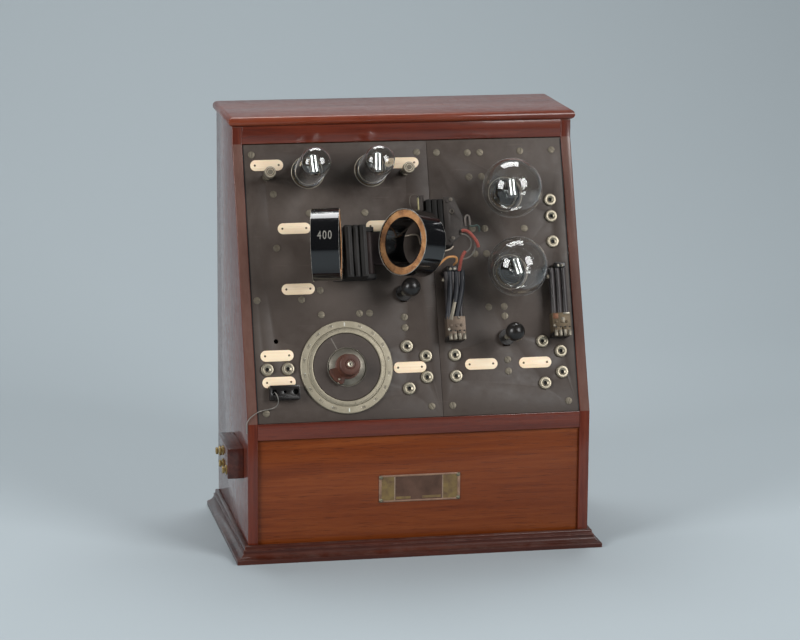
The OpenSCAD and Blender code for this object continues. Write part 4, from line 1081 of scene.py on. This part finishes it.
class RECEIVER_OT_screws(bpy.types.Operator):
    """Slotted screws on the panels, the back board and the rheostats"""
    bl_idname = "receiver.screws"
    bl_label = "Screws"

    def execute(self, context):
        whole = bmesh.new()
        for u, v in PANEL_SCREWS:
            gather(whole, screw_head(*PANEL_SCREW), on_panel(u, v) @ turn(u * 7 + v * 3, "Z"))
        for x in (-158, 0, 158):
            for z in (5, 225, 431):
                gather(
                    whole, screw_head(*PANEL_SCREW),
                    in_room(x, 117, z) @ turn(-90, "X") @ turn(x + z, "Z"))
        for _, clip_u in RHEOSTATS:
            for side in (-2.1, 2.1):
                spot = turned([(0, 1.5), (0.8, 1.35), (1.4, 0.9), (1.65, 0.0), (0, 0.0)], 24)
                gather(whole, spot, on_panel(clip_u + side, 151.4, 19), 1)
        dressed("screws", whole, "cabinet", ["screw_metal", "bright_screw_and_highlight"], 40)
        return {"FINISHED"}


class RECEIVER_OT_labels(bpy.types.Operator):
    """Bare ivory labels and their pins"""
    bl_idname = "receiver.labels"
    bl_label = "Labels"

    def execute(self, context):
        eased("label_plates", "cabinet", "ivory", 0.25, 2, 40)
        whole = bmesh.new()
        for x in (-40.9, 40.9):
            for z in (-12.2, 12.2):
                pin = turned([(0, 1.2), (1.0, 1.1), (1.7, 0.8), (2.1, 0.0), (0.0, 0.0)], 20)
                gather(whole, pin, in_room(0.1 + x, -101.9, 70 + z) @ turn(90, "X"), 1)
        for u, v in LABELS:
            for side in (-12.5, 12.5):
                pin = turned([(0, 0.4), (0.5, 0.36), (0.9, 0.22), (1.15, 0.0), (0.0, 0.0)], 16)
                gather(whole, pin, on_panel(u + side, v, 1.0))
        dressed("plate_pins", whole, "cabinet", ["pin_dark", "corner_pin"], 50)
        return {"FINISHED"}


class RECEIVER_OT_sockets(bpy.types.Operator):
    """The fifteen nickel sockets"""
    bl_idname = "receiver.sockets"
    bl_label = "Plug sockets"

    def execute(self, context):
        whole = bmesh.new()
        for u, v in SOCKETS:
            body = turned([
                (2.0, -19.5), (2.0, 1.25), (2.25, 1.4), (3.3, 2.15), (3.6, 2.42), (3.9, 2.5), (5.7, 2.5),
                (6.15, 2.3), (6.45, 1.9), (6.6, 1.2), (6.6, 0.0), (4.0, 0.0), (4.0, -21.5),
                (2.0, -21.5)], 40, True)
            gather(whole, body, on_panel(u, v))
            # A black disc a little down each bore is painted shade in the hole.
            gather(whole, turned([(0, -1.4), (1.99, -1.4), (1.99, -0.6), (0, -0.6)], 24), on_panel(u, v), 1)
            gather(
                whole, turned([(1.99, -1.0), (2.5, 1.25), (2.62, 1.5), (2.9, 1.72), (1.99, 1.2)], 32, True),
                on_panel(u, v), 1)
            nut = bmesh.new()
            bmesh.ops.create_cone(nut, cap_ends=True, segments=6, radius1=6.5, radius2=6.5, depth=3.0)
            gather(whole, soften(nut, 0.3, 1), on_panel(u, v, -7.5))
        dressed("plug_sockets", whole, "cabinet", ["socket_nickel", "painted_shade_black"], 28)
        return {"FINISHED"}


class RECEIVER_OT_dial(bpy.types.Operator):
    """Scale ring with its figures, disc, plate and broken knob"""
    bl_idname = "receiver.dial"
    bl_label = "Dial"

    def execute(self, context):
        place = on_panel(*DIAL)
        whole = bmesh.new()
        ring = turned([
            (35.4, 0.0), (48.2, 0.0), (48.2, 2.1), (48.05, 2.6), (47.6, 2.95), (47.1, 3.0), (41.3, 3.0),
            (41.0, 2.8), (40.75, 2.3), (40.5, 2.8), (40.2, 3.02), (36.6, 3.45), (36.0, 3.48), (35.55, 3.3),
            (35.4, 2.9)],
            120, True)
        gather(whole, ring, place)
        for i in range(180):
            low = (37.0, 38.6, 38.6, 38.6, 38.6, 37.9, 38.6, 38.6, 38.6, 38.6)[i % 10]
            tick = block((low, -0.1, 2.9), (40.1, 0.1, 3.4 if i % 10 else 3.48), 0.0)
            gather(whole, tick, place @ turn(2.0 * i, "Z"), 1)
        for i in range(18):
            around = place @ turn(90 - 20 * i, "Z")
            if i % 9 == 0:
                gather(whole, block((42.6, -0.55, 2.9), (46.4, 0.55, 3.1), 0.05, 1), around, 2)
            else:
                mark = digits(str(10 * i), 3.5, 0.06)
                gather(whole, mark, around @ Matrix.Translation((44.6, 0, 3.02)) @ turn(-90, "Z"), 1)
                dot = turned([(0, 0.32), (0.35, 0.26), (0.5, 0.0), (0, 0)], 14)
                gather(whole, dot, around @ turn(-3.4, "Z") @ Matrix.Translation((44.2, 0, 2.95)), 2)
        dressed("scale_ring", whole, "cabinet", ["scale_nickel", "dark_fill", "white_fill"], 25)

        whole = bmesh.new()
        disc = turned([
            (4.0, 0.3), (34.6, 0.3), (35.0, 0.7), (35.0, 2.1), (34.6, 2.5), (4.0, 2.5)], 96, True)
        gather(whole, disc, place)
        gather(whole, block((20, -0.5, 2.4), (33.5, 0.5, 2.56), 0.0), place @ turn(116, "Z"), 1)
        dressed("dial_disc", whole, "tuning", ["ebonite", "grey_fill"])

        whole = bmesh.new()
        gather(whole, turned([
            (4.0, 2.45), (20.1, 2.45), (20.5, 2.8), (20.5, 3.5), (20.2, 3.8), (19.8, 3.7), (19.2, 2.7),
            (12.8, 6.1), (4.0, 6.1)], 72, True), place)
        dressed("knob_plate", whole, "tuning", ["plate_nickel"])

        whole = bmesh.new()
        hub = turned([
            (4.0, 5.5), (12.6, 5.5), (13.0, 6.0), (12.9, 8.1), (12.4, 8.5), (11.2, 8.8), (11.0, 9.4),
            (11.0, 22.2), (10.6, 23.2), (9.6, 23.8), (8.4, 24.0), (5.4, 24.0), (4.6, 23.4),
            (4.0, 22.4)], 64, True)
        gather(whole, hub, place)
        skirt = [(0.0, 0.0)]
        for i in range(11):
            angle = math.radians(186 + 6.8 * i)
            reach = 19.9 - (1.6 if i in (0, 10) else 0.0) - (0.5 if i % 3 == 1 else 0.0)
            skirt.append((reach * math.cos(angle), reach * math.sin(angle)))
        gather(whole, plate(skirt, 3.6, 9.0, 0.5), place)
        gather(
            whole, turned([(2.9, 24.0), (4.9, 23.6), (4.7, 24.5), (4.2, 24.75), (2.9, 24.75)], 40, True),
            place)
        bush = turned(
            [(1.05, 24.2), (2.9, 24.2), (2.9, 24.9), (2.5, 25.2), (1.5, 25.2), (1.05, 24.9)], 32, True)
        gather(whole, bush, place, 1)
        # A black disc in the bush's hole is painted shade.
        gather(whole, rod(1.04, 24.62, 24.7, 0.02, 20), place, 2)
        clamp = place @ turn(238, "Z")
        across = Matrix.Translation((0, 0, 7.4)) @ turn(90, "Y")
        gather(whole, rod(1.1, 17.0, 20.4, 0.4, 16), clamp @ across, 1)
        gather(whole, block((15.4, -2.4, 8.4), (17.4, -0.4, 10.4), 0.5), clamp, 1)
        dressed("tuning_knob", whole, "tuning", ["knob_brown", "nickel", "painted_shade_black"], 35)
        return {"FINISHED"}


def strand_run(levels, low_r, high_r, width, per_level, turns):
    """Points of a honeycomb winding: straight strands from face to face, one level above the next."""
    step = 360.0 * turns / per_level
    points = []
    for j in range(levels * per_level):
        level = 2 * (j // (2 * per_level)) + j % 2
        level = min(level, levels - 1) if levels > 1 else 0
        r = low_r + (high_r - low_r) * level / max(1, levels - 1)
        side = -1 if j % 2 == 0 else 1
        for t, s in ((0, side), (1, -side)):
            angle = math.radians((j + t) * step + (2.4 if t == 0 else -2.4))
            points.append(Vector((s * width / 2, r * math.cos(angle), r * math.sin(angle))))
    return points


def coil_pieces(prefix, place, outer_r, body, levels, wound):
    """Band, tube, winding and core of one plug-in coil; the axis is x."""
    whole = bmesh.new()
    side = place @ turn(90, "Y")
    band = turned([
        (outer_r - 0.95, 0.2 - BAND_HALF_W), (outer_r - 0.7, -BAND_HALF_W), (outer_r - 0.25, -BAND_HALF_W),
        (outer_r, 0.25 - BAND_HALF_W), (outer_r, BAND_HALF_W - 0.25), (outer_r - 0.25, BAND_HALF_W),
        (outer_r - 0.7, BAND_HALF_W), (outer_r - 0.95, BAND_HALF_W - 0.2)], 120, True)
    gather(whole, band, side)
    for edge in (-BAND_HALF_W, BAND_HALF_W):
        lip = turned([
            (outer_r - 0.85, edge - 0.12), (outer_r - 0.2, edge - 0.12), (outer_r - 0.2, edge + 0.12),
            (outer_r - 0.85, edge + 0.12)], 96, True)
        gather(whole, lip, side, 1)
    tube = turned([
        (25.0, -13.1), (25.2, -13.2), (25.8, -13.2), (26.0, -13.1), (26.0, 13.1), (25.8, 13.2),
        (25.2, 13.2), (25.0, 13.1)],
        96, True)
    gather(whole, tube, side)
    if prefix == "large_coil":
        for i, figure in enumerate("400"):
            mark = digits(figure, 12.6, 0.25)
            bmesh.ops.scale(mark, vec=(0.66, 1.0, 1.0), verts=mark.verts[:])
            bmesh.ops.translate(mark, vec=((i - 1) * 5.3, 0.0, 0.0), verts=mark.verts[:])
            bmesh.ops.subdivide_edges(mark, edges=mark.edges[:], cuts=1)
            for vert in mark.verts:
                angle = vert.co.y / outer_r + math.radians(FIGURE_TURN)
                reach = outer_r + 0.02 + 0.12 * (vert.co.z + 0.25)
                vert.co = Vector((vert.co.x, reach * math.sin(angle), reach * math.cos(angle)))
            gather(whole, mark, place, 1)
    dressed(prefix + "_band", whole, body, ["celluloid", "pale_edge"], 25)

    whole = bmesh.new()
    top = outer_r - 1.0 - 0.7
    core = turned([
        (26.05, -12.5), (top - 0.2, -12.5), (top + 0.6, -12.2), (top + 0.6, 12.2), (top - 0.2, 12.5),
        (26.05, 12.5)], 96, True)
    gather(whole, core, side)
    points = strand_run(levels, 26.7, top, 26.2, 98, 8)
    gather(whole, wire(points, 0.55, 1), place)
    stand_in(prefix + "_winding_dressed", whole, body, ["cotton_winding"], wound, 60)


class RECEIVER_OT_coils(bpy.types.Operator):
    """The stand, both swinging arms and both plug-in coils"""
    bl_idname = "receiver.coils"
    bl_label = "Coils"

    def execute(self, context):
        whole = bmesh.new()
        gather(whole, soften(node_copy("coil_stand"), 0.7 * MM, 3, 35))
        for u, low, high in ((-69.2, 146, 198.4), (-61.25, 145.6, 197.0), (-53.3, 146, 198.4)):
            ridge = rod(3.3, low, high, 1.2, 32)
            gather(whole, ridge, on_panel(u, 0, 27.0) @ turn(-90, "X"))
        dressed("coil_stand", whole, "cabinet", ["dull_ebonite"], 35)
        for node, body in (("left_coil_arm", "large_arm"), ("right_coil_arm", "small_arm")):
            eased(node, body, "holder_brown", 0.5, 2, 40)
        coil_pieces(
            "large_coil", large_coil_place(), 37.2, "large_coil", 8,
            ["large_coil_winding", "large_coil_core"])
        coil_pieces("small_coil", small_coil_place(), 34.5, "small_coil", 6, ["small_coil_winding"])
        eased("large_coil_plug", "large_coil", "black_ebonite", 0.5, 2, 40)
        eased("small_coil_plug", "small_coil", "black_ebonite", 0.5, 2, 40)
        return {"FINISHED"}


class RECEIVER_OT_lead_block(bpy.types.Operator):
    """The leads' block, its tag plate and the clip"""
    bl_idname = "receiver.lead_block"
    bl_label = "Lead block"

    def execute(self, context):
        whole = bmesh.new()
        gather(whole, block((15, 173, 0), (41, 224, 24.5), 0.8, 3), on_panel())
        for low, high in ((15.0, 20.4), (21.2, 26.6), (27.4, 32.8), (33.6, 41.0)):
            gather(whole, block((low, 173, 20), (high, 224, 27), 0.9, 3), on_panel())
        dressed("lead_block", whole, "cabinet", ["matt_ebonite"], 35)
        whole = bmesh.new()
        gather(whole, soften(node_copy("lead_plate"), 0.22 * MM, 2, 40))
        for u, v in ((40.4, 222.6), (40.5, 182)):
            gather(whole, screw_head(2.0, 1.0, 0.6, 0.5), on_panel(u, v, 29.6) @ turn(30 + u, "Z"), 1)
        eyelet = turned(
            [(1.5, 28.6), (2.6, 28.6), (2.6, 29.2), (2.2, 29.6), (1.7, 29.4), (1.5, 29.0)], 28, True)
        gather(whole, eyelet, on_panel(41, 210.3), 1)
        for u, v in ((50, 189.6), (49.6, 186.4)):
            gather(whole, rod(1.5, 28.2, 30.2, 0.4, 20), on_panel(u, v), 1)
        lay(whole, LUG_ROUTE, 1.15, 3, 5, 4)
        lay(whole, TEAL_ROUTE, 0.9, 2, 3, 4)
        gather(whole, rod(2.15, 211.9, 227.1, 0.7, 28), on_panel(9.2, 0, 20) @ turn(-90, "X"), 2)
        lay(whole, CLIP_WIRE_ROUTE, 0.36, 2, 1, 5)
        dressed(
            "lead_plate", whole, "cabinet",
            ["tag_dark", "rivet_metal", "rod_brass", "lead_green", "finger_metal", "tag_metal"],
            35)
        return {"FINISHED"}


def helix(radius, low, high, turns, per_turn=12):
    """Points of a coiled wire along z."""
    count = turns * per_turn
    return [
        Vector((radius * math.cos(math.tau * i / per_turn), radius * math.sin(math.tau * i / per_turn),
                low + (high - low) * i / count))
        for i in range(count + 1)]


def valve_mount(name, place, middle, length, lean):
    """Cap, pins, glass stem, wires, anode, grid and filament of one valve."""
    whole = bmesh.new()
    cap = turned([
        (0, -27), (14.3, -27), (15, -26.3), (15, -20.5), (14.7, -20.2), (14.7, -19.4), (15, -19.1),
        (15, -3.5), (14.6, -3), (13.65, -3), (13.65, -7.1), (12.35, -7.1), (12.35, -3), (11.8, -3),
        (0, -3)], 64)
    gather(whole, cap, place, 3)
    gather(
        whole, turned([(0, -3.0), (12.3, -3.0), (12.2, -2.7), (11.6, -2.45), (10.6, -2.4), (0, -2.4)], 56),
        place, 4)
    for angle in (0, 90, 180, 270):
        pin = rod(1.65, -41, -26.5, 0.5, 20)
        gather(whole, pin, place @ turn(angle, "Z") @ Matrix.Translation((8, 0, 0)))
    press = middle - 13.5
    stem = turned([
        (0, -3.2), (10.5, -3.2), (9.0, -1.5), (6.4, 1.0), (5.2, 4.5), (4.8, 8.0), (4.6, press - 5),
        (4.0, press - 2.5), (3.2, press - 1.5), (0, press - 1.2)], 40)
    gather(whole, stem, place, 1)
    flat = block((-5.2, -1.5, press - 5.5), (5.2, 1.5, press + 1.0), 0.8, 3)
    gather(whole, flat, place, 1)
    stand = place @ turn(lean, "Z")
    for v in (-length / 2 + 1.5, length / 2 - 1.5):
        reach = [
            (0, v * 0.45, press - 2), (0, v * 0.6, press + 2), (0, v, middle - 6.5), (0, v, middle - 4.7)]
        gather(whole, wire(smooth_route(reach, 4), 0.42, 2), stand, 2)
    for x in (-4.2, 4.2):
        for v in (-length / 2 - 1.6, length / 2 + 1.6):
            hook = [
                (x * 0.9, v * 0.25, press - 2), (x, v * 0.4, press + 3), (x * 1.25, v * 0.9, middle - 4),
                (x * 0.5, v, middle - 0.5), (0, v, middle)]
            gather(whole, wire(smooth_route(hook, 4), 0.22, 1), stand, 2)
    level = Matrix.Translation((0, 0, middle)) @ turn(90, "X")
    anode = turned([
        (4.45, -length / 2), (4.7, -length / 2), (4.78, -length / 2 + 0.6), (4.7, -length / 2 + 1.1),
        (4.7, length / 2 - 1.1), (4.78, length / 2 - 0.6), (4.7, length / 2), (4.45, length / 2)], 56, True)
    gather(whole, anode, stand @ level, 2)
    gather(whole, wire(helix(2.4, -length / 2 - 0.6, length / 2 + 0.6, 12), 0.13, 0), stand @ level, 2)
    filament = [(0, 0, -length / 2 - 1.6), (0, 0, length / 2 + 1.6)]
    gather(whole, wire(filament, 0.12, 0), stand @ level, 2)
    dressed(
        name + "_mount", whole, name, ["nickel", "glass", "anode_metal", "cap_brass", "cap_cement"],
        35)


class RECEIVER_OT_valves(bpy.types.Operator):
    """Bulbs, electrodes, caps and rings of the four valves"""
    bl_idname = "receiver.valves"
    bl_label = "Valves"

    def execute(self, context):
        whole = bmesh.new()
        gather(whole, soften(node_copy("valve_holders"), 0.2 * MM, 2, 40))
        for centres, reach, level in ((TUBE_VALVES, 17.1, 0.85), (GLOBE_VALVES, 19.2, 1.55)):
            for u, v in centres:
                bead = turned([
                    (reach - 0.35, level - 0.1), (reach - 0.25, level + 0.2), (reach, level + 0.3),
                    (reach + 0.25, level + 0.2), (reach + 0.3, level - 0.1)], 72, True)
                gather(whole, bead, on_panel(u, v), 1)
        dressed("valve_holders", whole, "cabinet", ["tag_metal", "nickel"], 32)
        for number, (u, v) in enumerate(TUBE_VALVES + GLOBE_VALVES, 1):
            place = on_panel(u, v)
            name = "valve_%d" % number
            if number < 3:
                outer = [(13.5, -7.0), (13.5, -3.0), (14.4, 0.5), (15.4, 3.0), (15.75, 5.0)]
                outer += arc(15.75, 11, 55, 0, 90, 18)
                inner = arc(14.75, 10, 55, 90, 0, 18)
                inner += [(14.75, 5.0), (14.4, 3.0), (13.4, 0.5), (12.5, -3.0), (12.5, -7.0)]
                middle = 44
            else:
                outer = [(13.5, -7.0)]
                outer += arc(31, 31, 40, -math.degrees(math.acos(13.5 / 31.0)), 90, 36)
                inner = arc(30, 30, 40, 90, -math.degrees(math.acos(12.5 / 30.0)), 36)
                inner += [(12.5, -7.0)]
                middle = 40
            outer[-1] = (0.0, outer[-1][1])
            inner[0] = (0.0, inner[0][1])
            shell = turned(outer[::-1], 64)
            bm = bmesh.new()
            gather(bm, shell)
            lining = turned(inner, 64)
            bmesh.ops.reverse_faces(lining, faces=lining.faces[:])
            gather(bm, lining)
            rim = [e for e in bm.edges if e.is_boundary]
            bmesh.ops.bridge_loops(bm, edges=rim)
            bm.transform(place)
            stand_in(name + "_bulb", bm, name, ["glass"], [name + "_glass"], 60)
            valve_mount(name, place, middle, 17.0 if number < 3 else 16.0, (4, -3, 3, 14)[number - 1])
        return {"FINISHED"}


def drilled_block(half_w, low, high, start, end, holes, hole_h, hole_r):
    """A block with round holes right through it along y, in millimetres."""
    bm = bmesh.new()
    outline = [(-half_w, low), (half_w, low), (half_w, high), (-half_w, high)]
    turns = [math.tau * i / 32 for i in range(32)]
    rings = [[(x + hole_r * math.cos(a), hole_h + hole_r * math.sin(a)) for a in turns] for x in holes]
    edges = []
    for ring in [outline] + rings:
        corners = [bm.verts.new((x, start, z)) for x, z in ring]
        edges += [bm.edges.new((corners[i - 1], corners[i])) for i in range(len(corners))]
    bmesh.ops.triangle_fill(bm, edges=edges, use_beauty=True)
    drawn_out(bm, (0, end - start, 0))
    soften(bm, 0.5, 2, 35, lambda e: all(abs(abs(v.co.x) - half_w) < 0.01 for v in e.verts))
    return bm


class RECEIVER_OT_rheostats(bpy.types.Operator):
    """Slide rheostats: tubes, sleeves, clips and fingered sliders"""
    bl_idname = "receiver.rheostats"
    bl_label = "Rheostats"

    def execute(self, context):
        whole = bmesh.new()
        for u, clip_u in RHEOSTATS:
            gather(whole, block((u - 9.5, 147.5, 0), (u + 9.5, 150.5, 13), 0.5), on_panel())
            gather(whole, block((u - 9.5, 77.5, 0), (u + 9.5, 81.5, 16.2), 0.5), on_panel())
            gather(whole, block((clip_u - 6, 149.5, 0), (clip_u + 6, 155, 19), 1.1, 3), on_panel())
            for i in (-1, 0, 1):
                tube = on_panel(u + TUBE_GAP * i, 0, TUBE_H) @ turn(-90, "X")
                gather(whole, rod(2.9, 81, 149.5, 0.2, 28), tube, 1)
            gather(whole, rod(2.0, -1.4, 1.4, 0.5, 24), on_panel(u - 9.6, 141, 12.4), 5)
        for run in SPLAYED_SLEEVES:
            lay(whole, run, 2.75, 4, 2, 5)
        gather(
            whole, block((-1.9, -19.5, -0.7), (1.9, 3, 0.7), 0.6, 3),
            on_panel(40.4, 117, 18.4) @ turn(-15.5, "Z"), 4)
        gather(whole, rod(1.3, 0, 1.6, 0.5, 16), on_panel(43.4, 100.4, 18.6), 4)
        dressed(
            "rheostat_frames", whole, "cabinet",
            ["black_ebonite", "tube_grey", "sleeve_blue", "brass", "finger_metal", "screw_metal"],
            35)
        sliders = (("left_slider", "copper_brown"), ("right_slider", "slider_olive"))
        for (name, skin), (u, _) in zip(sliders, RHEOSTATS):
            whole = bmesh.new()
            bores = (-TUBE_GAP, 0, TUBE_GAP)
            body = drilled_block(9.7, 6, 19, SLIDER_LOW, SLIDER_LOW + 20, bores, TUBE_H, 2.98)
            gather(whole, body, on_panel(u))
            for side in (-1, 1):
                seat = block(
                    (side * 4.6 - 3.9, SLIDER_LOW - 5, 17.4), (side * 4.6 + 3.9, SLIDER_LOW + 5, 21), 0.5)
                gather(whole, seat, on_panel(u))
            for i in range(4):
                x = u - 7.2 + 4.8 * i
                lift = (0.4, 0.9, 0.1, 0.6)[i]
                finger = block((-1.6, -3.2, -0.5), (1.6, 3.4, 0.5), 0.4, 2)
                tip = turn(-12 + 8 * (i % 3), "X") @ turn(-4 + 4 * (i % 3), "Z")
                gather(whole, finger, on_panel(x, 80.4, 21.0 + lift) @ tip, 2)
                # Dark dots beside the fingers are painted shade in holes.
                gather(whole, rod(0.9, 0.0, 0.3, 0.1, 14), on_panel(x + 0.4, 86.6, 20.95), 3)
            if name == "right_slider":
                # On the right slider, a bright strip near the top edge is a painted highlight.
                gather(whole, block((u + 2, 100.2, 18.6), (u + 8.8, 101.9, 19.9), 0.5), on_panel(), 4)
                gather(whole, block((u - 8.8, 95.5, 18.7), (u - 3.2, 101.2, 19.4), 0.4), on_panel(), 1)
                gather(whole, block((u - 0.6, 91, 18.7), (u + 3.4, 97, 19.6), 0.5), on_panel(), 2)
            for x in (-5.6, 0.4, 5.4):
                gather(whole, screw_head(1.5, 0.8, 0.4, 0.4), on_panel(u + x, 92.5, 19) @ turn(25 * x, "Z"))
            gather(
                whole, rod(1.5, 0.0, 1.6, 0.5, 18), on_panel(u - 8.0, 88.4, 18.8),
                4 if name == "left_slider" else 2)
            dressed(
                name, whole, name, [skin, "copper_patch", "finger_metal", "painted_shade_black", "bright_screw_and_highlight"],
                35)
        return {"FINISHED"}


class RECEIVER_OT_keys(bpy.types.Operator):
    """Lever keys with their black balls"""
    bl_idname = "receiver.keys"
    bl_label = "Lever keys"

    def execute(self, context):
        dress("key_frames", "brass")
        for name, (u, v) in (("left_key", KEYS[0]), ("right_key", KEYS[1])):
            whole = bmesh.new()
            place = on_panel(u, v)
            gather(whole, ball(9.9, 43, 56), place)
            gather(whole, rod(3.0, -16, 34, 0.2), place, 1)
            gather(whole, rod(8.5, 4.0, 5.2, 0.4, 48), place)
            gather(whole, rod(2.0, -9, 9, 0.2), on_panel(u, v, -16) @ turn(90, "Y"), 1)
            gather(whole, rod(4.6, -6, 6, 0.4), on_panel(u, v, -16) @ turn(90, "Y"), 1)
            dressed(name, whole, name, ["black_ebonite", "nickel"], 40)
        return {"FINISHED"}


class RECEIVER_OT_terminals(bpy.types.Operator):
    """Terminal studs with knurled nuts and the side terminals"""
    bl_idname = "receiver.terminals"
    bl_label = "Terminals"

    def execute(self, context):
        dress("terminal_studs", "screw_metal")
        for name, (u, v) in (("left_nut", STUDS[0]), ("right_nut", STUDS[1])):
            whole = bmesh.new()
            gather(whole, soften(node_copy(name), 0.15 * MM, 1, 12))
            for inner, outer, level in ((2.7, 3.4, 30.35), (4.3, 4.8, 30.3)):
                lip = turned([
                    (inner, 29.8), (outer, 29.8), (outer, level - 0.1), (outer - 0.1, level),
                    (inner, level)], 40, True)
                gather(whole, lip, on_panel(u, v), 1)
            gather(
                whole, turned([(3.4, 29.9), (4.3, 29.9), (4.3, 30.08), (3.4, 30.08)], 40, True),
                on_panel(u, v), 2)
            dressed(name, whole, name, ["nut_nickel", "nickel", "pin_dark"], 20)
        eased("side_terminals", "cabinet", "brass", 0.2, 2, 40)
        return {"FINISHED"}


class RECEIVER_OT_leads(bpy.types.Operator):
    """Flexible leads of the swinging coil and the tag plate's leads"""
    bl_idname = "receiver.leads"
    bl_label = "Leads"

    def execute(self, context):
        orange = bmesh.new()
        lay(orange, ORANGE_ROUTE, 1.2, 3, 0)
        first = stand_in("orange_lead", orange, None, ["lead_orange"], ["coil_leads"], 60)
        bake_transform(first)
        white = bmesh.new()
        lay(white, WHITE_ROUTE, 0.75, 3, 0)
        second = stand_in("white_lead", white, None, ["lead_white"], (), 60)
        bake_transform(second)
        whole = bmesh.new()
        for run in SLEEVE_ROUTES:
            lay(whole, run, 1.7, 4, 0)
        for run in TAG_WIRE_ROUTES:
            lay(whole, run, 0.75, 3, 1)
        dressed("tag_leads", whole, "cabinet", ["lead_red", "grey_wire"], 60)
        return {"FINISHED"}


class RECEIVER_OT_name_plate(bpy.types.Operator):
    """The bare name plate: a raised rim, a dark field and plain end fields"""
    bl_idname = "receiver.name_plate"
    bl_label = "Name plate"

    def execute(self, context):
        whole = bmesh.new()
        half_w, half_h, rim = 42.9, 14.4, 1.9
        gather(whole, block((-half_w, -half_h, 0), (half_w, half_h, 0.5), 0.1, 1))
        for side in (-1, 1):
            gather(whole, block(
                (-half_w, side * (half_h - rim / 2) - rim / 2, 0),
                (half_w, side * (half_h - rim / 2) + rim / 2, 1.0),
                0.4), None, 1)
            gather(whole, block(
                (side * (half_w - 1.4) - 1.4, -half_h, 0), (side * (half_w - 1.4) + 1.4, half_h, 1.0), 0.4),
                None, 1)
            inner = 26.2 if side < 0 else 24.4
            gather(whole, block(
                (side * inner - 0.55, -half_h + 1, 0.3), (side * inner + 0.55, half_h - 1, 0.8), 0.15, 1),
                None, 3)
            low, high = sorted((side * (inner + 0.5), side * (half_w - 2.6)))
            gather(whole, block((low, -half_h + 1.8, 0.3), (high, half_h - 1.8, 0.62), 0.1, 1), None, 2)
        for low, high, foot in ((-25, -9.5, -11.6), (2.8, 22.5, -11.4)):
            gather(whole, block((low, foot, 0.3), (high, foot + 2.6, 0.6), 0.1, 1), None, 2)
        whole.transform(in_room(0.1, -101, 70) @ turn(90, "X"))
        dressed(
            "name_plate", whole, "cabinet", ["plate_field", "plate_rim", "plate_end", "plate_line"])
        return {"FINISHED"}


class RECEIVER_OT_inside(bpy.types.Operator):
    """Finishes for the parts behind the panels"""
    bl_idname = "receiver.inside"
    bl_label = "Inside parts"

    def execute(self, context):
        dress("condenser_frame", "inner_wood")
        dress("condenser_stator", "nickel")
        dress("condenser_rotor", "brass")
        dress("transformers", "dark_iron")
        return {"FINISHED"}


STEPS = (
    RECEIVER_OT_stage, RECEIVER_OT_loose_wire, RECEIVER_OT_cabinet, RECEIVER_OT_panels, RECEIVER_OT_screws,
    RECEIVER_OT_labels, RECEIVER_OT_sockets, RECEIVER_OT_dial, RECEIVER_OT_coils, RECEIVER_OT_lead_block,
    RECEIVER_OT_valves, RECEIVER_OT_rheostats, RECEIVER_OT_keys, RECEIVER_OT_terminals, RECEIVER_OT_leads,
    RECEIVER_OT_name_plate, RECEIVER_OT_inside,
)


class RECEIVER_PT_sidebar(bpy.types.Panel):
    """Lists the steps that dress the receiver"""
    bl_idname = "RECEIVER_PT_sidebar"
    bl_label = "Receiver"
    bl_space_type = "VIEW_3D"
    bl_region_type = "UI"
    bl_category = "Receiver"

    def draw(self, context):
        column = self.layout.column()
        for values in (context.scene.receiver_stage, context.scene.receiver_sizes):
            for name in values.bl_rna.properties.keys():
                if name not in ("rna_type", "name"):
                    column.prop(values, name)
        for step in STEPS:
            column.operator(step.bl_idname)


CLASSES = (ReceiverStage, ReceiverSizes) + STEPS + (RECEIVER_PT_sidebar,)


def register():
    for made in CLASSES:
        bpy.utils.register_class(made)
    bpy.types.Scene.receiver_stage = bpy.props.PointerProperty(type=ReceiverStage)
    bpy.types.Scene.receiver_sizes = bpy.props.PointerProperty(type=ReceiverSizes)


def unregister():
    del bpy.types.Scene.receiver_sizes
    del bpy.types.Scene.receiver_stage
    for made in reversed(CLASSES):
        bpy.utils.unregister_class(made)


def main():
    register()
    for step in STEPS:
        area, word = step.bl_idname.split(".")
        getattr(getattr(bpy.ops, area), word)()


if __name__ == "__main__":
    main()
